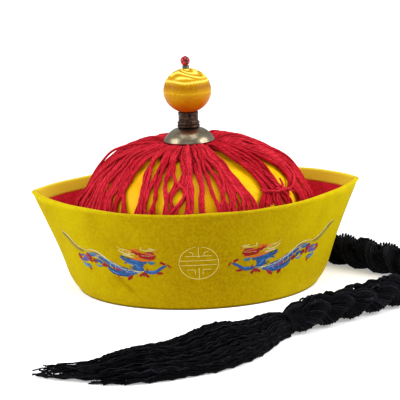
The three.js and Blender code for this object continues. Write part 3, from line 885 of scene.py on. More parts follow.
def crownShell(material):
    angles = np.linspace(0, 2 * np.pi, crown["columns"], endpoint=False)
    fold = np.sin(crown["folds"] * angles + 2.5 * np.sin(3 * angles)) + 0.6 * np.sin(19 * angles + 1)
    wave = np.sin(5 * angles + 0.7) + 0.7 * np.sin(8 * angles + 2)
    rows = []
    for station in np.linspace(89.4, 0, 46):
        gathered = math.sin(math.radians(station)) ** 2
        lift = crown["foldDepth"] * fold * gathered * math.sin(math.radians(min(90, 2 * station)))
        lift = lift + crown["waveDepth"] * wave * (1 - gathered)
        radius, height = crownProfile(station, lift if station < 89 else 0.0)
        if station > 89:
            radius = crown["hole"]
        rows.append(crownPlace(angles, radius, height))
    for height in np.linspace(crown["shoulder"], 0, 20)[1:]:
        share = height / crown["shoulder"]
        radius = crown["hemHalfWidth"] * (1 - share) + crown["halfWidth"] * share
        radius = radius + crown["waveDepth"] * wave * share
        # the flare closes the joint with the lining
        radius = radius + crown["hemFlare"] * (1 - smoothStep(0, 5, height))
        rows.append(crownPlace(angles, radius, height))
    for height in np.linspace(0, crown["shoulder"], 10):
        share = height / crown["shoulder"]
        radius = crown["hemHalfWidth"] * (1 - share) + crown["halfWidth"] * share - crown["wall"]
        rows.append(crownPlace(angles, radius, height))
    for station in np.linspace(0, 89.4, 24)[1:]:
        radius, height = crownProfile(station, -crown["wall"])
        if station > 89:
            radius = crown["hole"]
        rows.append(crownPlace(angles, radius, height))
    grid = np.array(rows)
    return gridPiece("crown_satin", grid, material, closedRows=True, closedColumns=True, sharpAngle=60)


readyPiece(crownShell(crownSatin(satinFinish)), "crown_satin", "crown")
print("mandarin hat: crown")

# Fringe: yarns from under the metal cap, spread evenly between the gaps that show the crown
fringe = {
    "rootRadius": 15.5,
    "capRadius": 21.5,
    "underCap": 1.7,
    "clearance": 0.9,
    "yarns": 400,
    "yarnRadius": 1.14,
    "steps": 30,
    "sides": 5,
    "tipHeight": 67,
    "closing": 7,
    "gapEase": 1.7,
    "clump": 4,
    "clumpPull": 0.3,
    "sway": 0.7,
    "swayLength": 0.62,
    "wiggles": [(0.4, 0.5), (0.17, 0.45)],
    "tipScatter": 2.5,
    "liftedTips": {"from": 38, "to": 47, "by": 7},
    "innerRadius": 25,
    "strayShare": 0.97,
    "heightStep": 0.5,
    "taperAlong": [0, 0.12, 0.2, 0.93, 1],
    "taperShare": [0.7, 0.85, 1, 1, 0.7],
    "seed": 11,
}

# Plain gaps at the sides and the back: the turns they fill, and the range of each size
sideGaps = {
    "spans": ((-172, -66), (74, 176)),
    "top": (84, 101),
    "foot": (66, 76),
    "halfWidth": (0.5, 1.7),
    "drift": (-1.5, 1.5),
    "apart": (8.5, 15),
}

# Each gap's rows are height in millimetres and its left and right edge in degrees from the front
frontGaps = [
    [(94.5, -57.2, -56.8), (91.3, -58, -57), (84, -57.2, -56.8)],
    [(85.2, -48.2, -47.8), (79.8, -50, -49), (75.7, -49.2, -48.8)],
    [(79.3, -44.2, -43.8), (72.5, -45.5, -41.5), (68, -44, -43)],
    [(107, -40.7, -40.3), (102, -41.5, -37.4), (97, -40.5, -35), (92, -40.5, -34), (89, -41.5, -32.5),
     (85, -42.5, -32.5), (81, -40.5, -33), (76, -38, -33.5), (72, -37.5, -34), (66, -36, -35.6)],
    [(107.5, -30, -29.6), (104, -31, -28), (101, -29.3, -28), (96, -29.4, -28), (93.3, -28.4, -28.1)],
    [(102, -23.8, -23.3), (97.3, -25, -24), (93.2, -24.2, -23.8)],
    [(88.5, -25, -24.6), (83, -24, -23), (73.4, -25.2, -24.8)],
    [(103, -20.1, -19.9), (97.5, -20.5, -19.5), (93, -20.5, -19), (87, -21.4, -18), (82.4, -21, -17.5),
     (77.6, -21, -18), (73.7, -21, -17.5), (67, -20, -18.5)],
    [(98, -15, -14.5), (95.3, -16, -13), (92.8, -16.2, -12), (90, -16.2, -13.8), (86.4, -15.5, -15.3)],
    [(106.5, -11.2, -10.8), (103, -10.7, -8.6), (99.4, -11.5, -7.5), (96.5, -10.4, -9.4), (95.3, -10, -9.8)],
    [(89.6, -9.3, -8.7), (88, -11.5, -6.8), (86, -12.9, -6.5), (84.5, -12.7, -6.7), (82, -12.4, -8.4),
     (79.5, -11.8, -10), (78.5, -10.8, -10.4)],
    [(84.5, -4.7, -4.4), (81, -6.9, -4.6), (78.2, -8.2, -5), (75.7, -9.5, -6.5), (73, -9, -7.5),
     (68, -8.4, -7.8)],
    [(96, 0.6, 0.9), (91, 0.5, 1.3), (86, 0, 1.3), (82, -0.5, 1.1), (73.7, -0.5, 1), (67, -0.2, 0.6)],
    [(97, 7.5, 7.9), (92.5, 7, 8), (88, 6.5, 8.1), (84, 5.6, 8.5), (80, 4.7, 9.4), (76, 4.6, 10.4),
     (73, 5.5, 9.5), (67, 6, 8)],
    [(101, 10, 10.5), (97, 10.5, 12.4), (93.6, 10.3, 13), (89.2, 10, 13), (85.2, 10.5, 12.6),
     (81.5, 11.8, 12.2)],
    [(103, 14.4, 14.8), (98.8, 15.2, 15.8), (95, 15.4, 15.6)],
    [(87.6, 16.4, 16.7), (82.7, 16.6, 17.4), (77, 16.8, 17.2)],
    [(86.4, 21.8, 22.2), (81.4, 22.7, 23.4), (76.2, 23.8, 24.2)],
    [(82.2, 27.9, 28.2), (78.5, 29, 29.8), (75.4, 30.4, 30.7)],
    [(110.9, 31.5, 36.5), (108, 29.2, 36), (104.2, 27.8, 36.6), (100, 27, 37), (95, 27.2, 37.4),
     (90, 28.3, 38.3), (85, 29.6, 38.8), (80.6, 31, 38.3), (78, 32, 36.5), (76.5, 33.4, 34.8)],
    [(102.3, 43.7, 44.2), (98.2, 43.2, 43.8)],
    [(97.5, 44.3, 44.8), (94, 45.2, 45.7)],
    [(76, 48, 51.5), (74.5, 46.5, 52.2), (72.3, 50.5, 53.4), (70.1, 54, 54.6)],
    [(101, 53.7, 54.2), (97.8, 53.1, 53.9), (93.9, 51.6, 52.5), (90, 49.6, 50.4), (85.4, 51.8, 52.2)],
    [(106, 56.2, 56.8), (104.4, 57.1, 57.7)],
    [(103.5, 59.6, 61), (98.5, 57.2, 64), (95, 55.2, 65), (91.5, 52.6, 65.4), (87.5, 54.4, 65.6),
     (85.4, 53.6, 65.6), (83, 52.6, 64)],
    [(81, 63.8, 64.2), (79.3, 54.5, 64.8), (77.9, 54.8, 66), (76, 55.5, 66.2), (72, 56.2, 66.4),
     (69.8, 56.6, 66.5), (66, 58, 66)],
]

# How thick the fringe lies over the crown, by station, at the left and at the right
fringeThickness = {
    "station": [4, 14, 28, 42, 52.5, 64.5, 75],
    "left": [3.2, 3.2, 3.6, 4.7, 6.0, 7.2, 7.9],
    "right": [4.2, 4.2, 4.3, 5.6, 8.6, 9.6, 8.3],
}

# How far the tips swing out, by degrees from the front, and the heights between which the swing sets in
tipSwing = {
    "angle": [-180, -112, -96, -60, -47, 52, 66, 80, 95, 112, 180],
    "swing": [0.4, 0.6, 8.5, 6.5, 1.2, 0.2, 1.8, 3.6, 3.4, 0.6, 0.4],
    "heights": (66, 81),
}

# Stray yarns by name, as points of angle, height and lift over the crown
strayYarns = {
    "crossingDown": [
        (-13.5, 104, 4), (-13, 98.5, 3.8), (-11, 94, 3.8), (-8.5, 91.3, 4), (-5.5, 88.4, 3.8),
        (-4, 83, 3.4), (-3.4, 76, 3), (-3, 68, 2.8),
    ],
    "crossingBack": [
        (-6, 101, 4), (-6.3, 94.5, 3.6), (-8, 91, 3.2), (-11.5, 88.3, 2.8), (-14.3, 85.6, 2.8),
        (-14.6, 80, 2.8), (-14, 73, 2.6), (-14, 67, 2.6),
    ],
    "crossingLow": [
        (-3.5, 93, 4), (-4.5, 87.5, 3.8), (-6, 84, 3.6), (-8.2, 80.4, 3.4), (-10.6, 77, 3.2), (-13, 73, 3),
        (-14.5, 68, 2.8),
    ],
    "curledOver": [
        (71, 93, 5), (69, 87, 4.8), (64.5, 83.9, 4.4), (59.5, 81.1, 4.2), (54, 80.9, 4.4),
        (49.5, 81.4, 4.8), (46, 83, 5),
    ],
    "levelCurl": [
        (53, 88, 5), (51.5, 83, 5.2), (48, 80.9, 5.4), (42.5, 81.7, 5.4), (37.2, 83, 5.2), (35.6, 84.6, 5),
    ],
    "tipRight": [
        (46, 95, 5), (48.5, 87, 4.8), (51, 83, 4.4), (55.5, 80.6, 4), (59.5, 78.7, 3.6), (61, 76.8, 3.2),
    ],
    "tipDown": [
        (45, 93, 5), (47.5, 85, 4.8), (50.5, 80.5, 4.4), (53, 77.5, 3.8), (55.2, 73, 3.4), (55.6, 69, 3),
    ],
    "besideGap": [
        (38, 106, 5), (39.5, 98, 4.6), (41.5, 90, 4.6), (43, 83, 4.6), (42.4, 77.5, 4), (43, 72, 3.4),
    ],
    "offRight": [
        (60, 111.6, 1.8), (66, 110.6, 6.5), (80, 105.5, 7.6), (88, 97, 6.4), (92, 87, 3.6), (93, 76, 3),
    ],
    "offLeft": [
        (-60, 111.7, 1.8), (-66, 110.8, 6), (-80, 107.5, 8), (-87, 102, 7.9), (-90, 95, 5), (-92, 84, 2.6),
        (-92, 74, 3),
    ],
    "offLeftLow": [(-56, 110.6, 5), (-68, 103, 5.6), (-74, 93, 4), (-78, 82, 3), (-80, 71, 8)],
}


def allGaps():  # the gaps seen from the front, and plain ones made for the sides and the back
    rng = random.Random(fringe["seed"])
    gaps = [list(rows) for rows in frontGaps]
    for low, high in sideGaps["spans"]:
        angle = low
        while angle < high:
            sizes = [rng.uniform(*sideGaps[key]) for key in ("top", "foot", "halfWidth", "drift")]
            top, foot, width, drift = sizes
            tall = top - foot
            rows = [(top, 0.2), (top - 0.25 * tall, 0.8), (foot + 0.3 * tall, 1.0), (foot, 0.3)]
            gaps.append([])
            for height, share in rows:
                middle = angle + drift * (top - height) / 30
                gaps[-1].append((height, middle - width * share, middle + width * share))
            angle += rng.uniform(*sideGaps["apart"])
    return gaps


def gapRank(rows):
    return sum(row[1] + row[2] for row in rows) / (2 * len(rows))


# Where a yarn lies at a height, in degrees: evenly between the gaps open there. A closed gap fades out.
def spreadAt(gaps, height, inset):
    knots = []
    for rank, rows in gaps:
        beyond = max(rows[-1, 0] - height, height - rows[0, 0], 0)
        share = 1 - float(smoothStep(0, fringe["closing"], beyond))
        if share > 0:
            left = np.interp(height, rows[::-1, 0], rows[::-1, 1])
            right = np.interp(height, rows[::-1, 0], rows[::-1, 2])
            spare = inset
            if beyond:
                left = right = (left + right) / 2
                spare = 0
            knots.append((rank, rank + (left - spare - rank) * share, rank + (right + spare - rank) * share))
    ranks = [-180] + [rank + side for rank, _, _ in knots for side in (-1e-6, 1e-6)] + [180]
    places = [-180] + [edge for knot in knots for edge in knot[1:]] + [180]
    return ranks, np.maximum.accumulate(places)


def crownWalk(tipHeight, steps):  # stations at even distances from the fringe's root down to a height
    stations = np.linspace(88, 0.5, 400)
    radius, height = crownProfile(stations)
    usable = (radius >= fringe["rootRadius"]) & (height >= tipHeight)
    stations, radius, height = stations[usable], radius[usable], height[usable]
    walked = np.concatenate([[0], np.cumsum(np.hypot(np.diff(radius), np.diff(height)))])
    return np.interp(np.linspace(0, walked[-1], steps), walked, stations)


def fringeLift(station, angle, layer):  # lift of a yarn's middle: pressed down by the cap, full beyond it
    towardsRight = 0.5 + 0.5 * np.sin(np.radians(angle))
    left = np.interp(station, fringeThickness["station"], fringeThickness["left"])
    right = np.interp(station, fringeThickness["station"], fringeThickness["right"])
    high = left + (right - left) * towardsRight - fringe["yarnRadius"]
    low = fringe["clearance"] + 0.5 * fringe["yarnRadius"]
    radius, _ = crownProfile(station)
    free = smoothStep(fringe["capRadius"], fringe["capRadius"] + 11, radius)
    high = fringe["underCap"] + (high - fringe["underCap"]) * free
    return low + (high - low) * layer


def walkedAlong(line):  # the distance from its start to each point of a line
    return np.concatenate([[0], np.cumsum(np.linalg.norm(np.diff(line, axis=0), axis=1))])


def pointsAt(line, marks, where):  # a line's values between the marks of its points
    return np.stack([np.interp(where, marks, line[:, axis]) for axis in range(line.shape[1])], axis=1)


def smoothLine(points, count):  # an even Catmull-Rom line through the points
    points = np.asarray(points, float)
    padded = np.concatenate([[2 * points[0] - points[1]], points, [2 * points[-1] - points[-2]]])
    samples = []
    for index in range(len(points) - 1):
        a, b, c, d = padded[index:index + 4]
        t = np.linspace(0, 1, 24, endpoint=False)[:, None]
        squared, cubed = 2 * a - 5 * b + 4 * c - d, 3 * b - a - 3 * c + d
        samples.append(0.5 * (2 * b + (c - a) * t + squared * t ** 2 + cubed * t ** 3))
    line = np.concatenate(samples + [points[-1:]])
    walked = walkedAlong(line)
    return pointsAt(line, walked, np.linspace(0, walked[-1], count))


def stationAtHeight(height):
    tall = np.clip((height - crown["shoulder"]) / crown["rise"], 0, 1)
    return np.degrees(np.arcsin(tall ** (crown["power"] / 2)))


def strayLine(rows):
    angle, height, lift = smoothLine(rows, fringe["steps"]).T
    ground = np.clip(height, crown["shoulder"] + 1, crown["shoulder"] + crown["rise"] - 0.05)
    return crownPlace(np.radians(angle), *crownProfile(stationAtHeight(ground), lift))


def fringeYarns(tree, material):
    rng = random.Random(fringe["seed"])
    gaps = sorted(((gapRank(rows), np.array(rows)) for rows in allGaps()), key=lambda gap: gap[0])
    heights = np.arange(60, 114, fringe["heightStep"])
    spreads = []
    for height in heights:
        radius, _ = crownProfile(stationAtHeight(height))
        inset = fringe["gapEase"] * fringe["yarnRadius"] / max(radius, fringe["innerRadius"])
        spreads.append(spreadAt(gaps, height, math.degrees(inset)))
    count, steps = fringe["yarns"], fringe["steps"]
    share = np.linspace(0, 1, steps)
    radii = fringe["yarnRadius"] * np.interp(share, fringe["taperAlong"], fringe["taperShare"])
    grip = smoothStep(0.08, 0.4, share)
    lifted = fringe["liftedTips"]
    lines, outer = [], []
    for yarn in range(count):
        if yarn % fringe["clump"] == 0:
            clumpPhase, clumpLayer = rng.uniform(0, 6.28), rng.uniform(0, 0.3)
            clumpMiddle = -180 + (yarn + fringe["clump"] / 2) * 360 / count
        rank = -180 + (yarn + rng.uniform(0.15, 0.85)) * 360 / count
        drawn = rank + (clumpMiddle - rank) * fringe["clumpPull"]
        tip = fringe["tipHeight"] + rng.uniform(-fringe["tipScatter"], fringe["tipScatter"])
        if lifted["from"] < rank < lifted["to"]:
            tip += lifted["by"]
        stations = crownWalk(tip, steps)
        radius, height = crownProfile(stations)
        rows = np.round((height - heights[0]) / fringe["heightStep"]).astype(int)
        rows = np.clip(rows, 0, len(heights) - 1)
        angle = np.array([np.interp(drawn, *spreads[row]) for row in rows])
        for _ in range(3):
            angle[1:-1] = (angle[:-2] + 2 * angle[1:-1] + angle[2:]) / 4
        sway = fringe["sway"] * np.sin(2 * np.pi * share / fringe["swayLength"] + clumpPhase) * grip
        for wavelength, size in fringe["wiggles"]:
            sway = sway + size * np.sin(2 * np.pi * share / wavelength + rng.uniform(0, 6.28)) * grip
        angle = angle + np.degrees(sway / np.maximum(radius, fringe["innerRadius"]))
        layer = clumpLayer + rng.random() * 0.75 + 0.1 * np.sin(share * 11 + rng.uniform(0, 6))
        layer = np.clip(layer, 0, 1)
        swing = np.interp(angle, tipSwing["angle"], tipSwing["swing"])
        swing = swing * (1 - smoothStep(*tipSwing["heights"], height)) * (0.5 + 0.6 * layer)
        lift = fringeLift(stations, angle, layer) + swing
        seen = np.degrees(np.arcsin(np.sin(np.radians(angle)) * radius / (radius + lift)))
        angle = angle + (seen - angle) * (np.abs(angle) < 90) * (1 - smoothStep(55, 84, np.abs(angle)))
        place = crownPlace(np.radians(angle), *crownProfile(stations, lift))
        lines.append((place, radii * rng.uniform(0.9, 1.08), rng.random()))
        if layer.mean() > 0.5:
            outer.append(lines[-1])
    for rows in strayYarns.values():
        lines.append((strayLine(rows), radii * fringe["strayShare"], rng.random()))
    print(f"mandarin hat: {len(lines)} yarns in the fringe")
    return strandPiece("fringe_yarns", lines, tree, material, fringe["sides"]), outer


# Loose fibres on the outer yarns: middle line in millimetres, radius, and how many stand on a square metre
looseFibre = {
    "line": [(0, 0, -0.1), (0.3, 0, 0.5), (1.0, 0.15, 0.95), (1.9, 0.45, 1.15)],
    "radius": 0.055,
    "density": 26000,
    "seed": 4,
}


def fibreShape(plan):
    points, faces = [], []
    for step, (x, y, z) in enumerate(plan["line"]):
        radius = plan["radius"] * (1 - 0.2 * step)
        for side in range(3):
            turn = 2 * math.pi * side / 3
            points.append((x * mm, (y + radius * math.cos(turn)) * mm, (z + radius * math.sin(turn)) * mm))
    for step in range(len(plan["line"]) - 1):
        for side in range(3):
            a, b, after = 3 * step, 3 * step + 3, (side + 1) % 3
            faces.append((a + side, a + after, b + after, b + side))
    last = 3 * (len(plan["line"]) - 1)
    faces += [(2, 1, 0), (last, last + 1, last + 2)]
    mesh = bpy.data.meshes.new("looseFibre")
    mesh.from_pydata(points, [], faces)
    faceOutward(mesh)
    return linkPiece("looseFibre", mesh)


def fringeFibres(outer, material):
    piece = strandPiece("fringe_fibres", outer, strandTree, material, fringe["sides"])
    shape = fibreShape(looseFibre)
    density, seed = looseFibre["density"], looseFibre["seed"]
    growNodes(piece, fibreTree, Fibre=shape, Density=density, Seed=seed, Finish=material)
    bpy.data.objects.remove(shape)
    return piece


redYarn = yarnMaterial("redYarn", redYarnFinish)
yarnsPiece, outerYarns = fringeYarns(strandTree, redYarn)
readyPiece(yarnsPiece, "red_yarn", "fringe")
readyPiece(fringeFibres(outerYarns, redYarn), "red_yarn")

# Finial: turned pieces about an axis a little left of the middle. Each profile row is radius, height and,
# where the corner is rounded, the radius of its round.
finialAxis = -3.4
finialProfiles = {
    "cap": [
        (2, 116.4), (18.2, 116.4, 0.4), (19.3, 114.9, 0.2), (20.4, 114.9, 0.5), (20.6, 115.9, 0.5),
        (19.9, 116.9, 0.8),
        (18.4, 119.6, 4), (15.2, 122.9, 6), (12, 125, 4), (9.4, 125.8, 1), (8.7, 126, 0.2), (2, 126),
    ],
    "collar": [
        (2, 126.3), (8.3, 126.3, 0.3), (9.1, 126.9, 0.5), (9.1, 128.1, 0.5), (8.3, 128.7, 0.3),
        (9, 129.3, 0.5),
        (9, 130.4, 0.5), (8.1, 131.2, 0.4), (7.9, 132.5, 0.6), (7.95, 136.4, 1), (8.2, 137.4, 0.4),
        (8.2, 138.6, 0.4),
        (7.2, 139, 0.2), (2, 139),
    ],
    "ferrule": [
        (1.85, 174), (2.7, 174, 0.1), (2.9, 174.5, 0.3), (2.5, 175, 0.2), (2.85, 175.5, 0.3),
        (2.5, 176, 0.1), (1.85, 176),
    ],
    "bead": [
        (0, 179.2), (1.4, 179.2), (1.4, 176.3), (2.3, 176.3, 0.3), (3.4, 177.6, 1.5), (3.9, 179.5, 2),
        (3.5, 181.3, 1.5),
        (2.3, 182.6, 0.8), (1.1, 183.1, 0.3), (0.8, 183.5, 0.3), (0, 183.6),
    ],
    "rod": [
        (0, 105.6), (2.9, 105.6, 0.3), (3, 108.4), (7.9, 108.4, 0.3), (8, 110, 0.3), (1.5, 110),
        (1.5, 176.1),
        (1.1, 176.1), (1.1, 178.9, 0.2), (0, 178.9),
    ],
}


def roundedProfile(rows, steps=5):  # each corner with a round becomes a short smooth curve
    points = []
    for index, row in enumerate(rows):
        corner = np.array(row[:2], float)
        if len(row) < 3:
            points.append(corner)
            continue
        before = np.array(rows[index - 1][:2], float) - corner
        after = np.array(rows[index + 1][:2], float) - corner
        reach = min(row[2], 0.48 * np.linalg.norm(before), 0.48 * np.linalg.norm(after))
        start = corner + before / np.linalg.norm(before) * reach
        end = corner + after / np.linalg.norm(after) * reach
        for share in np.linspace(0, 1, steps):
            points.append((1 - share) ** 2 * start + 2 * share * (1 - share) * corner + share ** 2 * end)
    return np.array(points)


# How far a part stands off the axis, as small parts on a bent rod do
finialShifts = {"ferrule": -0.5, "bead": -0.8}


def aboutAxis(radius, height, angles, shift=0.0):  # points round the finial's axis
    x = finialAxis + shift + radius * np.cos(angles)
    return np.stack(np.broadcast_arrays(x, radius * np.sin(angles), height), axis=-1)


def turnedPiece(name, profile, material, columns, closed, shift):
    angles = np.linspace(0, 2 * np.pi, columns, endpoint=False)
    grid = aboutAxis(profile[:, :1], profile[:, 1:], angles, shift)
    piece = gridPiece(name, grid, material, closedRows=closed, closedColumns=True, sharpAngle=45)
    mergeDoubles(piece.data)
    return piece


def mergeDoubles(mesh):  # closes the pole of a turned piece
    work = bmesh.new()
    work.from_mesh(mesh)
    bmesh.ops.remove_doubles(work, verts=work.verts, dist=0.002 * mm)
    bmesh.ops.dissolve_degenerate(work, edges=work.edges, dist=0.001 * mm)
    work.to_mesh(mesh)
    work.free()
    faceOutward(mesh)


# The ball is wound with thread: level courses round its middle, and whorls that close in on the top
woundBall = {
    "centre": 155.8,
    "radius": 19.2,
    "halfHeight": 17.85,
    "seat": 139.3,
    "hole": 2.0,
    "relief": 0.3,
    "threads": 96,
    "rows": 130,
    "columns": 210,
}


# Raised pale and sunk dark courses of the ball, pale by painted highlight and dark by painted shade: the
# height angle of each, how much it waves, its width and its tone
windingCourses = {
    "upper": {"at": 0.5, "wave": 1.6, "width": 0.06, "tone": 0.56},
    "level": {"at": -0.02, "wave": 1.0, "width": 0.05, "tone": 0.16},
    "hollow": {"at": 0.25, "wave": 1.3, "width": 0.14, "tone": -0.24},
}
windingPlan = {"ground": 0.37, "whorlsFrom": 0.56, "whorlsFull": 0.72, "whorl": 0.8}


def windingTone(turn, angles):  # how high the winding lies and how pale it is painted, from 0 to 1, at a height angle round the ball; the paleness is a painted highlight on the raised courses and over the top, and the darkness painted shade in the hollows
    wave = 0.02 * np.sin(2 * angles + 1.0) + 0.012 * np.sin(5 * angles + 0.4)
    upper, level, hollow = (
        row["tone"] * bell(turn - row["wave"] * wave, row["at"], row["width"])
        for row in windingCourses.values()
    )
    whorl = np.abs(np.sin(11 * turn + angles + 1.5 * np.sin(3 * angles + 5 * turn))) ** 3
    high = smoothStep(windingPlan["whorlsFrom"], windingPlan["whorlsFull"], turn)
    tone = windingPlan["ground"] + (upper + level) * (1 - high) + hollow
    return tone + high * (windingPlan["whorl"] * whorl - 0.02)


def ballOfThread(plan, material):
    lowest = -math.asin((plan["centre"] - plan["seat"]) / plan["halfHeight"])
    highest = math.acos(plan["hole"] / plan["radius"])
    angles = np.linspace(0, 2 * np.pi, plan["columns"], endpoint=False)
    rows, tones, strands = [], [], []
    for turn in np.linspace(lowest, highest, plan["rows"]):
        tone = windingTone(turn, angles)
        tilted = turn + 0.07 * np.sin(angles + 0.6) + 0.04 * np.sin(3 * angles)
        strand = np.abs(np.cos(plan["threads"] / 2 * tilted))
        fade = smoothStep(lowest, lowest + 0.06, turn) * (1 - smoothStep(highest - 0.05, highest, turn))
        lift = plan["relief"] * (0.35 * strand + 1.1 * tone - 0.7) * fade
        radius = (plan["radius"] + lift) * math.cos(turn)
        height = plan["centre"] + (plan["halfHeight"] + lift) * math.sin(turn)
        if turn == lowest:
            height = plan["seat"]
        rows.append(aboutAxis(radius, height, angles))
        tones.append(tone)
        strands.append(strand)
    rows.insert(0, aboutAxis(plan["hole"] * 0.98, plan["seat"], angles))
    tones.insert(0, tones[0])
    strands.insert(0, strands[0])
    piece = gridPiece(
        "finial_thread_ball", np.array(rows), material, closedRows=True, closedColumns=True, sharpAngle=60
    )
    keepOnPoints(piece.data, "windingTone", tones)
    keepOnPoints(piece.data, "windingThread", strands)
    return piece


pewter = agedMetal("pewter", metalFinishes["pewter"])
darkMetal = agedMetal("darkMetal", metalFinishes["darkMetal"])
greyMetal = agedMetal("greyMetal", metalFinishes["greyMetal"])


def turnedFinial(part, name, material, slotName, node, closed, columns=96):
    profile = roundedProfile(finialProfiles[part])
    piece = turnedPiece(name, profile, material, columns, closed, finialShifts.get(part, 0))
    readyPiece(piece, slotName, node)


turnedFinial("cap", "finial_bell_cap", pewter, "pewter", "finial_cap", True, 128)
turnedFinial("collar", "finial_ringed_collar", darkMetal, "dark_metal", "finial_collar", True)
turnedFinial("rod", "finial_hidden_rod", darkMetal, "dark_metal", "finial_rod", False, 48)
turnedFinial("ferrule", "finial_top_ferrule", greyMetal, "grey_metal", "finial_ferrule", True, 64)
lacquer = redLacquer(lacquerFinish)
turnedFinial("bead", "finial_lacquer_bead", lacquer, "red_lacquer", "finial_bead", False, 64)
readyPiece(ballOfThread(woundBall, silkThread(silkFinish)), "silk_thread", "finial_ball")
print("mandarin hat: finial")

# Queue: one route on the floor for the braid, its tie and the tassel. The braid's points are the solid's.
queue = {
    "halfWidth": 14.0,
    "halfHeight": 11.0,
    "spacing": 2.9,
    "strands": 3,
    "yarnsPerStrand": 19,
    "period": 74,
    "sway": 4.9,
    "crossing": 3.4,
    "strandHalfWidth": 8.7,
    "strandHalfHeight": 6.2,
    "yarnRadius": 1.0,
    "strandTwist": 46,
    "loops": 18,
    "bunches": [(9, -0.35), (11, -0.3), (24, -0.4), (26, -0.35), (37, -0.4), (38, -0.3), (40, -0.35)],
    "yarnsPerLoop": 5,
    "loopAside": 14.4,
    "loopMiddle": 10.5,
    "loopRise": 10.4,
    "tieSqueeze": 0.34,
    "cuffSqueeze": 0.12,
    "looseTaper": 0.45,
    "rootFullness": 0.2,
    "tieHeight": 8.6,
    "looseHeight": 6.5,
    "looseFrom": 70,
    "coreRadius": 5.0,
    "intoCuff": 5,
    "intoTassel": 78,
    "tieLength": 6.5,
    "gap": 0.3,
    "seed": 5,
}
braidRoute = [
    (10.3, 113), (21, 112.8), (38, 110.2), (57, 103.5), (77, 91.5), (97.5, 72), (118, 47), (136, 25.3),
    (153.5, 3.6), (169.6, -16.2), (179.8, -35.2), (182, -56.5), (176, -77), (162.6, -94.2), (141.6, -112),
    (120.5, -130), (99.5, -147.9), (80.5, -164.1), (64, -178.2),
]
tasselRoute = [
    (38, -206), (21.5, -226), (3.5, -242.5), (-14, -254), (-30, -262.5), (-52, -270), (-72, -272),
    (-90, -268),
    (-108, -261),
]
tassel = {
    "yarns": 360,
    "steps": 34,
    "yarnRadius": 0.62,
    "sides": 4,
    "halfWidth": 29,
    "fullHeight": 20.5,
    "crinkle": 0.75,
    "drift": 1.6,
    "lump": 1.3,
    "lumpLength": 8.5,
    "straight": 9,
    "reach": (0.78, 0.96),
    "looseEvery": 14,
    "looseReach": (0.95, 1.0),
    "slackEvery": 19,
    "slackRise": (1.4, 2.6),
    "seed": 23,
}

# How far the tassel spreads and how high it stands, by share of its length
tasselForm = {
    "along": [0, 0.05, 0.1, 0.18, 0.3, 0.45, 0.6, 0.74, 0.87, 1.0],
    "spread": [0.33, 0.37, 0.44, 0.6, 0.86, 0.98, 0.93, 0.82, 0.66, 0.46],
    "height": [0.8, 0.88, 0.93, 0.98, 1.02, 0.96, 0.82, 0.66, 0.46, 0.2],
}


def routeLength(line):
    return float(np.linalg.norm(np.diff(line, axis=0), axis=1).sum())


def flatFrame(line):  # unit directions ahead and to the left along a flat line
    ahead = np.gradient(line, axis=0)
    ahead = ahead / np.linalg.norm(ahead, axis=1, keepdims=True)
    return ahead, np.stack([-ahead[:, 1], ahead[:, 0]], axis=1)


braidLine = smoothLine(braidRoute, 240)
braidLength = routeLength(braidLine)
endAhead = np.array(braidRoute[-1]) - braidRoute[-2]
endAhead = endAhead / np.linalg.norm(endAhead)
tieStart = np.array(braidRoute[-1]) + endAhead * queue["gap"]
tieEnd = tieStart + endAhead * queue["tieLength"]
tasselStart = tieEnd + endAhead * queue["gap"]
tasselPoints = [tuple(tasselStart), tuple(tasselStart + endAhead * tassel["straight"])] + tasselRoute
tasselLine = smoothLine(tasselPoints, 160)
tasselLength = routeLength(tasselLine)


# The whole way of a braid's yarn, from inside the cuff to its loose end inside the tassel
def wholeRoute():
    back = np.array([(braidRoute[0][0] - queue["intoCuff"], braidRoute[0][1])])
    route = np.concatenate([back, np.array(braidRoute), [tieEnd], np.array(tasselPoints[1:])])
    total = queue["intoCuff"] + braidLength + queue["tieLength"] + queue["intoTassel"]
    line = smoothLine(route, 1200)
    even = np.linspace(0, total, int(total / queue["spacing"]))
    return pointsAt(line, walkedAlong(line), even), even - queue["intoCuff"]


def braidLoop(flat, left, start, reach, side, rng):
    steps = np.array([0, 0.15, 0.5, 0.85, 1])
    out = np.array([0.72, 0.98, rng.uniform(1.08, 1.24), 0.98, 0.72])
    turn = math.radians(90 - 75 * side)
    index = np.clip(np.round(start + steps * reach).astype(int), 0, len(flat) - 1)
    aside = queue["loopAside"] * out * math.cos(turn) + rng.uniform(-1.5, 1.5) * (steps - 0.5)
    z = queue["loopMiddle"] + queue["loopRise"] * out * math.sin(turn)
    return smoothLine(np.concatenate([flat[index] + left[index] * aside[:, None], z[:, None]], axis=1), 10)


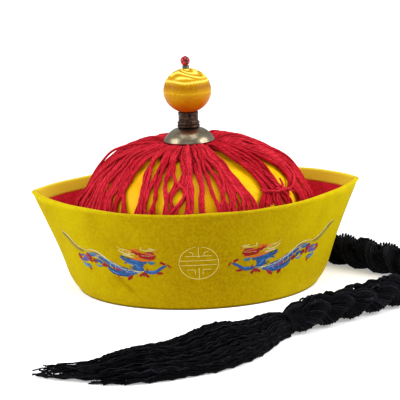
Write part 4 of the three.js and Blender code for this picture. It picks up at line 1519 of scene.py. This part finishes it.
def braidYarns(tree, material):
    rng = random.Random(queue["seed"])
    flat, walked = wholeRoute()
    _, left = flatFrame(flat)
    # squeezed where it enters the cuff and under the tie, and loose beyond it
    tieMiddle = braidLength + queue["tieLength"] / 2
    squeeze = 1 - queue["tieSqueeze"] * bell(walked, tieMiddle, 9)
    squeeze = squeeze - queue["cuffSqueeze"] * bell(walked, 0, 6)
    loose = smoothStep(tieMiddle, tieMiddle + 14, walked)
    taper = 1 - queue["looseTaper"] * smoothStep(tieMiddle, walked[-1], walked)
    taper = taper + queue["rootFullness"] * smoothStep(0, 30, walked) * (1 - smoothStep(150, 330, walked))
    middle = queue["halfHeight"]
    height = np.interp(
        walked, [0, braidLength - 12, tieMiddle, tieMiddle + queue["looseFrom"]],
        [middle, middle, queue["tieHeight"], queue["looseHeight"]],
    )
    lines = []
    for strand in range(queue["strands"]):
        turn = 2 * np.pi * (walked / queue["period"] + strand / queue["strands"])
        side = queue["sway"] * np.sin(turn) * (1 - loose) + loose * 5 * (strand - 1)
        rise = queue["crossing"] * np.sin(2 * turn) * (1 - loose)
        for yarn in range(queue["yarnsPerStrand"]):
            phase = 2 * np.pi * (yarn / queue["yarnsPerStrand"] + walked / queue["strandTwist"])
            wobble = 1 + 0.05 * np.sin(walked / 7 + rng.uniform(0, 6))
            reach = (1 - 0.35 * loose) * wobble
            aside = (side + queue["strandHalfWidth"] * np.cos(phase) * reach) * squeeze * taper
            above = (rise + queue["strandHalfHeight"] * np.sin(phase) * reach) * squeeze * taper
            z = np.maximum(height + above, queue["yarnRadius"] * 1.02)
            place = np.concatenate([flat + left * aside[:, None], z[:, None]], axis=1)
            lines.append((place, queue["yarnRadius"] * rng.uniform(0.92, 1.06), rng.random()))
        aside, above = side * squeeze * taper, rise * squeeze * taper
        core = np.concatenate([flat + left * aside[:, None], (height + above)[:, None]], axis=1)
        lines.append((core, queue["coreRadius"] * squeeze * taper * (1 - 0.3 * loose), 0.0))
    # slack loops of yarn that stand out of the braid
    first, last = np.searchsorted(walked, 18), np.searchsorted(walked, braidLength - 8)
    places = [(rng.randrange(first, last - 6), rng.uniform(-1, 1)) for _ in range(queue["loops"])]
    places += [(last - back, side) for back, side in queue["bunches"]]
    for start, side in places:
        reach = rng.randint(3, 6)
        for _ in range(queue["yarnsPerLoop"]):
            begin, towards = start + rng.randint(-1, 1), side + rng.uniform(-0.1, 0.1)
            loop = braidLoop(flat, left, begin, reach, towards, rng)
            lines.append((loop, queue["yarnRadius"] * 0.85, rng.random()))
    return strandPiece("queue_braid", lines, tree, material, 5)


def looseTassel(tree, material):
    rng = random.Random(tassel["seed"])
    ahead, left = flatFrame(tasselLine)
    shares = np.linspace(0, 1, len(tasselLine))
    lines = []
    for yarn in range(tassel["yarns"]):
        slant = rng.uniform(-1, 1)
        across = math.copysign(abs(slant) ** 0.85, slant)
        room = math.sqrt(max(0.0, 1 - abs(across) ** 2.2))
        level = rng.random() ** 0.8 * room
        reach = rng.uniform(*tassel["reach"]) * (1 - 0.2 * across ** 2) * (1 - 0.06 * level)
        loose = yarn % tassel["looseEvery"] == 0
        if loose:
            reach, across = rng.uniform(*tassel["looseReach"]), across * 0.8
        share = np.linspace(0, reach, tassel["steps"])
        spread = np.interp(share, tasselForm["along"], tasselForm["spread"])
        tall = np.interp(share, tasselForm["along"], tasselForm["height"])
        middle, aside = pointsAt(tasselLine, shares, share), pointsAt(left, shares, share)
        walked = share * tasselLength
        grip = smoothStep(0.02, 0.12, share)
        drift = np.sin(walked / rng.uniform(16, 30) + rng.uniform(0, 6))
        drift = tassel["drift"] * (1 - 0.8 * across ** 4) * drift * grip
        drift = drift + loose * rng.uniform(-6, 6) * smoothStep(0.75, 1, share)
        lump = tassel["lump"] * np.sin(walked / tassel["lumpLength"] + 4 * across)
        drift = drift + lump * grip * (1 - 0.6 * across ** 2)
        middle = middle + ahead[-1] * (loose * rng.uniform(2, 9) * smoothStep(0.8, 1, share))[:, None]
        wiggle = tassel["crinkle"] * np.sin(walked / rng.uniform(1.6, 2.6) + rng.uniform(0, 6)) * grip
        wiggle = wiggle * (1 + loose * smoothStep(0.8, 1, share))
        bounce = tassel["crinkle"] * np.sin(walked / rng.uniform(1.6, 2.6) + rng.uniform(0, 6)) * grip
        offset = across * tassel["halfWidth"] * spread + drift + wiggle
        tall = tall * (1 + 0.1 * np.sin(walked / 11 + 1.5) * grip)
        z = 1.0 + level * tassel["fullHeight"] * tall + bounce
        if yarn % tassel["slackEvery"] == 0:  # stands out of the top as a slack loop
            z = z + rng.uniform(*tassel["slackRise"]) * bell(share, rng.uniform(0.2, 0.75), 0.04)
        z = np.maximum(z, tassel["yarnRadius"] * 1.05)
        place = np.concatenate([middle + aside * offset[:, None], z[:, None]], axis=1)
        lines.append((place, tassel["yarnRadius"] * rng.uniform(0.85, 1.15), rng.random()))
    return strandPiece("queue_tassel", lines, tree, material, tassel["sides"])


# Windings of thread round an oval bundle: each row is a place along it and its share of the full section
cuff = {
    "halfWidth": 15, "halfHeight": 12, "thread": 0.85, "start": -12,
    "rows": [(0, 0.04), (0.2, 0.5), (1.6, 0.82), (4, 0.97), (7, 1), (21.6, 1)],
}
tie = {
    "halfWidth": 10, "halfHeight": 8.5, "thread": 0.6,
    "rows": [(0, 0.97), (1, 1), (5.5, 1), (6.5, 0.97)],
}


def windThread(start, ahead, plan, pointsPerTurn=26):
    thread, halfWidth, halfHeight = plan["thread"], plan["halfWidth"], plan["halfHeight"]
    along, share = np.array(plan["rows"], float).T
    walked = np.concatenate([[0], np.cumsum(np.hypot(np.diff(along), np.diff(share) * halfWidth))])
    turns = walked[-1] / (2 * thread * 0.93)
    count = int(turns * pointsPerTurn)
    even = np.linspace(0, walked[-1], count)
    where, size = np.interp(even, walked, along), np.interp(even, walked, share)
    turn = np.linspace(0, 2 * np.pi * turns, count)
    left = np.array([-ahead[1], ahead[0]])
    aside = (halfWidth - thread) * size * np.cos(turn)
    z = halfHeight + (halfHeight - thread) * size * np.sin(turn)
    flat = start + np.outer(where, ahead) + np.outer(aside, left)
    return np.concatenate([flat, np.maximum(z, thread)[:, None]], axis=1)


def woundPiece(name, start, ahead, plan, tree, material):
    thread, halfHeight = plan["thread"], plan["halfHeight"]
    along, share = np.array(plan["rows"], float).T
    places = np.linspace(along[0] + thread, along[-1] - 0.3, 8)
    flat = start + np.outer(places, ahead)
    core = np.concatenate([flat, np.full((8, 1), halfHeight)], axis=1)
    coreRadius = (halfHeight - 1.4 * thread) * np.interp(places, along, share)
    lines = [(windThread(start, ahead, plan), thread, 0.4), (core, coreRadius, 0.0)]
    return strandPiece(name, lines, tree, material, 6)


blackYarn = yarnMaterial("blackYarn", blackYarnFinish)
tieYarn = yarnMaterial("tieYarn", tieYarnFinish)
braidPiece = braidYarns(strandTree, blackYarn)
tasselPiece = looseTassel(strandTree, blackYarn)
tiePiece = woundPiece("queue_tie", tieStart, endAhead, tie, strandTree, tieYarn)
cuffStart = np.array([cuff["start"], braidRoute[0][1]])
cuffPiece = woundPiece("queue_cuff", cuffStart, np.array([1.0, 0.0]), cuff, strandTree, tieYarn)
readyPiece(braidPiece, "black_yarn", "braid")
readyPiece(tasselPiece, "black_yarn", "braid_tassel")
readyPiece(tiePiece, "black_yarn", "braid_tie")
readyPiece(cuffPiece, "black_yarn", "braid_cuff")

# The cord's own line runs from the cuff through the tie into the tassel, where the braid's yarns come loose
cordFlat, cordWalked = wholeRoute()
cordFlat = cordFlat[cordWalked >= 0]
print(f"mandarin hat: queue, braid {braidLength:.0f} mm and tassel {tasselLength:.0f} mm")

# Embroidery on the front panel. Threads by name, and strokes of the left dragon as thread, widths and points
# across and up, in millimetres seen from the front. The right one is its mirror image.
threads = {
    "blue": "#24589a",
    "navy": "#0f2a58",
    "skyBlue": "#4b8cc8",
    "paleBlue": "#a3b3c4",
    "lilac": "#6f66ac",
    "grey": "#8d8464",
    "umber": "#6b5a2a",
    "red": "#a00c0c",
    "crimson": "#98143e",
    "orange": "#e0701a",
    "gold": "#dcc65a",
    "cream": "#e6dc9c",
    "teal": "#1f7a92",
    "paleGold": "#dcc35a",
}
rightDragonShift = 1.6
stitchPlan = {
    "fullness": 1.1, "spacing": 0.42, "thread": 0.55, "rise": 0.34, "lift": 0.06, "slant": 22, "seed": 3,
}
dragonStrokes = [
    ("cream", (0.45, 0.55), [(-106.4, 53.5), (-101.3, 51), (-96.8, 46.5), (-92.1, 43.5), (-87.8, 42)]),
    ("umber", (0.5, 0.6), [(-106, 52.5), (-102, 50), (-97.5, 46), (-93, 42.5), (-88.7, 41)]),
    ("grey", (0.45, 0.55), [(-105.6, 51.5), (-102.4, 49), (-98.3, 44.5), (-93.8, 41.5), (-89.3, 40)]),
    ("blue", (2.4, 4, 4.6, 3.6),
     [(-77.1, 38), (-72.1, 36), (-66.7, 33.5), (-60.4, 30.5), (-53.8, 29), (-47.7, 28)]),
    ("blue", (2.2, 4.2, 3.4), [(-69.8, 31), (-66, 28), (-60.7, 27), (-55.3, 26.5), (-50.1, 27.5)]),
    ("blue", (2.6, 3.2), [(-85.4, 39), (-82.4, 39), (-79.3, 39)]),
    ("lilac", (2.6, 3), [(-90.8, 33.5), (-87.8, 34), (-85, 34)]),
    ("lilac", (1.6, 1.8), [(-91.2, 37), (-89, 37.5), (-87.1, 36.5)]),
    ("navy", (0.7, 0.9), [(-69.4, 29.5), (-66.1, 27), (-60.7, 25.5), (-54.3, 25.5)]),
    ("navy", (0.6, 0.7),
     [(-84.6, 40.5), (-78.7, 40.5), (-73.3, 37.5), (-68.2, 34.5), (-62.9, 32.5), (-56.6, 30)]),
    ("cream", (0.7, 0.9, 0.8),
     [(-88.1, 42), (-83.1, 43), (-78.4, 42), (-73.3, 39), (-68.1, 35.5), (-63.2, 33.5), (-58, 31),
      (-52.8, 30), (-46.2, 29.5), (-42.4, 30)]),
    ("paleBlue", (0.8, 1),
     [(-86.3, 40.5), (-78.5, 40), (-72, 37), (-65.6, 33.5), (-59.1, 30.5), (-52.9, 28.5), (-45.2, 28.5)]),
    ("paleBlue", (0.7, 0.9), [(-72, 37), (-71.9, 35.5), (-72.2, 34)]),
    ("paleBlue", (0.7, 0.9), [(-68.3, 35), (-67.9, 33.5), (-67.9, 32)]),
    ("paleBlue", (0.7, 0.9), [(-64.1, 32.5), (-63.7, 31), (-64.1, 29.5)]),
    ("paleBlue", (0.7, 0.9), [(-60, 30.5), (-59.6, 29), (-60.1, 28)]),
    ("paleBlue", (0.7, 0.9), [(-56, 29.5), (-55.3, 28), (-56.1, 26.5)]),
    ("paleBlue", (0.7, 0.9), [(-51.7, 29), (-51.1, 28), (-52, 26.5)]),
    ("red", (1.6, 2.2), [(-92.5, 38), (-91.8, 35.5), (-89.9, 33.5)]),
    ("red", (1.3, 1.8), [(-85.4, 37), (-84.1, 35), (-82.4, 33)]),
    ("red", (1.1, 1.3), [(-81.8, 36), (-80.6, 35.5), (-79.2, 35.5)]),
    ("crimson", (1.2, 1.5), [(-87.8, 37.5), (-86.4, 37), (-85.4, 36)]),
    ("skyBlue", (1.5, 1.9), [(-88.9, 31.5), (-87, 29.5), (-84.9, 28.5)]),
    ("teal", (1, 1.3), [(-86.4, 31), (-84.2, 30), (-82.9, 29)]),
    ("red", (1.4, 1.7), [(-84.3, 28.5), (-83.6, 27.5), (-83, 26.5)]),
    ("blue", (2, 2.6), [(-79.6, 34.5), (-77.3, 35), (-74.5, 33)]),
    ("skyBlue", (1, 1.3), [(-79.1, 32), (-76.9, 30.5), (-74.2, 31)]),
    ("red", (2.4, 3.2, 2), [(-74, 32.5), (-72.4, 32), (-70.6, 31)]),
    ("red", (0.9, 1.1), [(-73.2, 33.5), (-72.2, 34), (-71.3, 34.5)]),
    ("red", (1, 1.5), [(-65.8, 31.5), (-62.8, 30.5), (-59.8, 30)]),
    ("red", (0.8, 1), [(-59.2, 29), (-57.8, 28.5), (-56.2, 28.5)]),
    ("red", (2.2, 2.8), [(-61.7, 25), (-60.3, 24), (-58.8, 23)]),
    ("red", (2, 2.6), [(-54.4, 22.5), (-52.8, 24.5), (-51.2, 26.5)]),
    ("red", (1.2, 1.4), [(-53.4, 25.5), (-52.4, 24.5), (-51.7, 23.5)]),
    ("blue", (1.8, 2.4), [(-59.6, 41), (-57.9, 39), (-55.5, 38)]),
    ("blue", (3, 4.8, 3.6), [(-56, 38.5), (-51, 37.5), (-45.8, 36.5), (-43.4, 33.5)]),
    ("blue", (3.2, 5.2, 2.8), [(-50.1, 33.5), (-46.3, 32), (-42.4, 30.5)]),
    ("blue", (1, 1.4), [(-57, 35.5), (-55.9, 36), (-54.4, 37)]),
    ("navy", (0.6, 0.8), [(-59.3, 41.5), (-56.9, 40.5), (-53.6, 39.5), (-49.4, 38.5)]),
    ("navy", (0.6, 0.8), [(-52.7, 33.5), (-51.1, 32), (-48.7, 31)]),
    ("skyBlue", (0.9, 1.3), [(-54, 35.5), (-51.9, 35.5), (-49.8, 34)]),
    ("skyBlue", (0.8, 1.1), [(-52.4, 38), (-49.7, 38), (-46.8, 37)]),
    ("skyBlue", (0.8, 1), [(-47.9, 33.5), (-46, 33), (-44.4, 31.5)]),
    ("orange", (1, 1.3, 0.8), [(-52.3, 39.5), (-47.2, 39), (-40.6, 38.5), (-34.2, 39.5), (-32, 41)]),
    ("orange", (0.9, 1.2), [(-52.1, 45), (-48.5, 45.5), (-45.1, 45)]),
    ("orange", (0.9, 1.2), [(-43.1, 44.5), (-38.7, 44), (-33.8, 43.5)]),
    ("orange", (0.7, 0.9), [(-32.2, 47), (-31.6, 46), (-31.4, 44.5)]),
    ("red", (1.7, 2.1), [(-48.6, 44), (-46.7, 43.5), (-44.4, 44)]),
    ("red", (1.6, 2.3, 2), [(-45.5, 42), (-42, 41), (-37.3, 41), (-32.6, 42.5)]),
    ("red", (1.2, 1.5), [(-42.5, 44), (-41, 43.5), (-39.6, 43.5)]),
    ("red", (0.9, 1.1), [(-38.5, 40), (-36.2, 40), (-33.8, 40.5)]),
    ("cream", (0.5, 0.6), [(-43.2, 42.5), (-38.4, 42.5), (-33.7, 43)]),
    ("blue", (1.6, 2), [(-44.2, 37.5), (-42.2, 36.5), (-39.9, 37)]),
    ("teal", (1.6, 2), [(-38.7, 38), (-36.6, 36.5), (-33.8, 37)]),
    ("skyBlue", (0.8, 1), [(-35.9, 38), (-34.8, 37.5), (-33.3, 36.5)]),
    ("gold", (0.6, 0.8), [(-62.3, 48.5), (-59.6, 46.5), (-56.7, 45.5)]),
    ("cream", (0.6, 0.8), [(-61.7, 46), (-58.6, 44), (-54.8, 43), (-51.7, 43)]),
    ("gold", (0.6, 0.8), [(-59.3, 47), (-54.6, 46), (-50.7, 45)]),
    ("cream", (0.6, 0.8), [(-58.1, 42), (-53.6, 41.5), (-49.4, 41)]),
    ("gold", (0.6, 0.8), [(-56.2, 45), (-51.9, 44), (-48.3, 42.5)]),
    ("cream", (0.5, 0.7), [(-43.9, 49), (-43.7, 48), (-43.4, 46.5)]),
    ("gold", (0.8, 1, 0.6), [(-43.5, 47), (-39.1, 46.5), (-32.7, 47)]),
    ("cream", (0.5, 0.6), [(-38.3, 48), (-35.4, 48), (-32.3, 47.5)]),
    ("blue", (2, 2.8, 2.2, 1.8),
     [(-41.5, 30), (-37.3, 29.5), (-32.8, 30), (-29.8, 32), (-27.7, 33.5), (-24.5, 35)]),
    ("skyBlue", (0.7, 0.9), [(-38.4, 30.5), (-36, 30), (-32.9, 30.5)]),
    ("red", (1.6, 2.1), [(-29.1, 37.5), (-27.1, 37), (-25.5, 36)]),
    ("red", (0.9, 1.3), [(-23.6, 36), (-22.1, 35), (-21.4, 33.5)]),
    ("red", (1.1, 2.2, 1), [(-32.2, 29), (-29.9, 29), (-27.1, 29)]),
    ("red", (1.6, 2.1), [(-45.5, 26), (-43.2, 27.5), (-40.8, 28.5)]),
    ("red", (1.7, 2.3), [(-41.2, 28.5), (-40, 27), (-38.5, 25.5)]),
    ("crimson", (1.2, 1.6), [(-42.9, 28), (-42.3, 27), (-42.1, 26)]),
    ("red", (2, 2.4), [(-86.3, 39.5), (-84.6, 37.5), (-83, 35.5)]),
    ("red", (1.6, 2), [(-81.9, 34.5), (-80.2, 34), (-78.6, 33)]),
    ("lilac", (2, 2.4), [(-88.6, 35.5), (-86.6, 36.5), (-84.8, 36)]),
    ("red", (2, 2.4, 1.4), [(-51.6, 45), (-49.4, 45.3), (-47, 44.6)]),
    ("orange", (1, 1.3), [(-56, 45.4), (-52.6, 45.9), (-49.4, 46.7), (-45.4, 46.9)]),
    ("crimson", (1.1, 1.4), [(-40, 32), (-39.5, 31.5), (-38.9, 30.5)]),
    ("red", (1.6, 2.2, 1.8), [(-48.4, 43.6), (-44, 43.2), (-39, 43), (-33.5, 43.4)]),
    ("crimson", (1.1, 1.4), [(-40.5, 44.6), (-37, 44.9), (-34, 44.4)]),
    ("orange", (0.8, 1), [(-50.5, 41.8), (-46.8, 40.6), (-42, 39.9)]),
    ("red", (1.8, 2.2), [(-65.5, 31), (-62.5, 29.8), (-59.4, 29.2)]),
    ("navy", (0.7, 0.8), [(-71, 32.6), (-67, 30), (-62, 28), (-56.5, 27)]),
    ("skyBlue", (1, 1.2), [(-68.5, 29.4), (-64.5, 27.2), (-60, 26.2), (-56.5, 26)]),
    ("paleBlue", (0.9, 1), [(-83.8, 39.4), (-80.6, 38.8), (-77.5, 37)]),
    ("skyBlue", (1, 1.2), [(-49, 35.6), (-47.2, 34), (-45.4, 32.2)]),
]

# A round fret: an outer ring, an upright, level bars and four corner hooks
fretMedallion = {"centre": (0.4, 37.2), "halfWidth": 15, "halfHeight": 12.6, "line": 0.75}
fretStrokes = [
    [(0, 0.98), (0, 0.62), (0, 0.3)],
    [(-0.96, 0.14), (-0.5, 0.14), (0.5, 0.14), (0.96, 0.14)],
    [(-0.96, -0.14), (-0.5, -0.14), (0.5, -0.14), (0.96, -0.14)],
    [(-0.68, 0.42), (-0.3, 0.42), (0.3, 0.42), (0.68, 0.42)],
    [(0, -0.3), (0, -0.62), (0, -0.98)],
    [(-0.62, -0.42), (-0.3, -0.42), (-0.2, -0.5), (-0.2, -0.72)],
    [(0.62, -0.42), (0.3, -0.42), (0.2, -0.5), (0.2, -0.72)],
    [(-0.5, 0.7), (-0.3, 0.62), (-0.3, 0.42)],
    [(0.5, 0.7), (0.3, 0.62), (0.3, 0.42)],
]


def frontTurn(x, height):  # the turn at which the front panel is x millimetres across
    turn = np.zeros_like(x)
    for _ in range(6):
        turn = np.arcsin(np.clip(x / bandHalfWidth(height, rimHeightAt(turn, "front")), -1, 1))
    return turn


def frontPlace(x, height, lift):
    x, height = np.asarray(x, float), np.asarray(height, float)
    turn = frontTurn(x, height)
    outward = bandOutward(turn, "front", height)
    rise = clothWave(turn, "front", height) + lift
    return bandPlace(turn, "front", height) + outward * rise[..., None], outward


def shaded(colour, shade):
    return [channel * shade for channel in colour[:3]] + [1.0]


def stitchesAlong(points, widths, colour, plan, rng):  # satin stitch: threads side by side across the stroke
    length = routeLength(np.array(points, float))
    count = max(3, int(length / plan["spacing"]))
    line = smoothLine(points, count)
    ahead, left = flatFrame(line)
    share = np.linspace(0, 1, count)
    width = np.interp(share, np.linspace(0, 1, len(widths)), widths)
    width = width * np.clip(np.sin(np.pi * np.clip(share, 0.03, 0.97)) * 3.2, 0.35, 1) ** 0.5
    slant = math.radians(plan["slant"])
    across = left * math.cos(slant) + ahead * math.sin(slant)
    reach = width / math.cos(slant)
    rows = []
    for index in range(count):
        middle = line[index] + left[index] * rng.uniform(-0.08, 0.08)
        half = across[index] * reach[index] * rng.uniform(0.9, 1.08) / 2
        ends = np.array([middle - half, middle + half])
        places, outward = frontPlace(ends[:, 0], ends[:, 1], plan["lift"])
        along = places[1] - places[0]
        size = (float(np.linalg.norm(along)), plan["thread"], plan["rise"] * rng.uniform(0.85, 1.15))
        tint = shaded(colour, rng.uniform(0.78, 1.12))
        rows.append((places.mean(axis=0), along / size[0], outward.mean(axis=0), size, tint))
    return rows


def archedStitch():  # a unit stitch along X, low at its ends
    stations = [(-0.5, 0.12, 0.4), (-0.36, 0.7, 0.9), (0, 1, 1), (0.36, 0.7, 0.9), (0.5, 0.12, 0.4)]
    section = [(-0.5, 0), (-0.34, 0.66), (0, 1), (0.34, 0.66), (0.5, 0)]
    points = [(x, y * wide, z * tall) for x, tall, wide in stations for y, z in section]
    faces = []
    for ring in range(len(stations) - 1):
        for side in range(len(section)):
            after = (side + 1) % len(section)
            a, b = ring * len(section), (ring + 1) * len(section)
            faces.append((a + side, b + side, b + after, a + after))
    last = (len(stations) - 1) * len(section)
    faces += [tuple(range(len(section))), tuple(last + side for side in reversed(range(len(section))))]
    mesh = bpy.data.meshes.new("archedStitch")
    mesh.from_pydata(points, [], faces)
    faceOutward(mesh)
    return linkPiece("archedStitch", mesh)


def dragon(name, mirror, shape, material):
    rng = random.Random(stitchPlan["seed"] + mirror)
    stitches = []
    for thread, widths, strokePoints in dragonStrokes:
        points = [(-mirror * x + (rightDragonShift if mirror > 0 else 0), z) for x, z in strokePoints]
        widths = [stitchPlan["fullness"] * width for width in widths]
        stitches += stitchesAlong(points, widths, paint(threads[thread]), stitchPlan, rng)
    return stitchPiece(name, stitches, stitchTree, shape, material)


def medallion(shape, material):
    rng = random.Random(stitchPlan["seed"])
    plan = fretMedallion
    (middleX, middleZ), colour = plan["centre"], paint(threads["paleGold"])
    ring = [(math.sin(turn), math.cos(turn)) for turn in np.radians(np.linspace(9, 351, 40))]
    stitches = []
    for stroke in [ring] + fretStrokes:
        points = [(middleX + x * plan["halfWidth"], middleZ + z * plan["halfHeight"]) for x, z in stroke]
        stitches += stitchesAlong(points, (plan["line"], plan["line"]), colour, stitchPlan, rng)
    return stitchPiece("embroidered_medallion", stitches, stitchTree, shape, material)


# Small running stitches that hold the folded facing inside the rim
facingStitches = {"pitch": 5.2, "length": 2.6, "above": 1.4, "thread": 0.6, "rise": 0.3, "seed": 9}


def facingSeam(shape, material):
    plan = facingStitches
    rng = random.Random(plan["seed"])
    # the stitches take the facing's colour, which holds painted light
    colour = paint(bandFinish["facing"])
    rows = []
    for side in ("front", "back"):
        turns = np.linspace(-1.5, 1.5, 900)
        level = rimHeightAt(turns, side) - band["facingDepth"] + plan["above"]
        places = bandPlace(turns, side, level, band["thickness"])
        walked = walkedAlong(places)
        for middle in np.arange(plan["pitch"], walked[-1], plan["pitch"]):
            ends = np.interp([middle - plan["length"] / 2, middle + plan["length"] / 2], walked, turns)
            tops = rimHeightAt(ends, side) - band["facingDepth"] + plan["above"]
            pair = bandPlace(ends, side, tops, band["thickness"])
            inward = -bandOutward(ends, side, tops).mean(axis=0)
            along = pair[1] - pair[0]
            size = (float(np.linalg.norm(along)), plan["thread"], plan["rise"])
            tint = shaded(colour, rng.uniform(0.8, 1.0))
            rows.append((pair.mean(axis=0), along / size[0], inward, size, tint))
    return stitchPiece("facing_stitches", rows, stitchTree, shape, material)


stitchShape = archedStitch()
silk = embroiderySilk()
readyPiece(dragon("embroidered_dragon_left", -1, stitchShape, silk), "silk_thread")
readyPiece(dragon("embroidered_dragon_right", 1, stitchShape, silk), "silk_thread")
readyPiece(medallion(stitchShape, silk), "silk_thread")
readyPiece(facingSeam(stitchShape, silk), "band_cloth")
bpy.data.objects.remove(stitchShape)
print("mandarin hat: embroidery")

for piece in sorted(bpy.data.objects, key=lambda item: item.name):
    if piece.type == "MESH" and not piece.hide_render:
        piece.data.calc_loop_triangles()
        print(f"mandarin hat: {piece.name} has {len(piece.data.loop_triangles)} triangles")
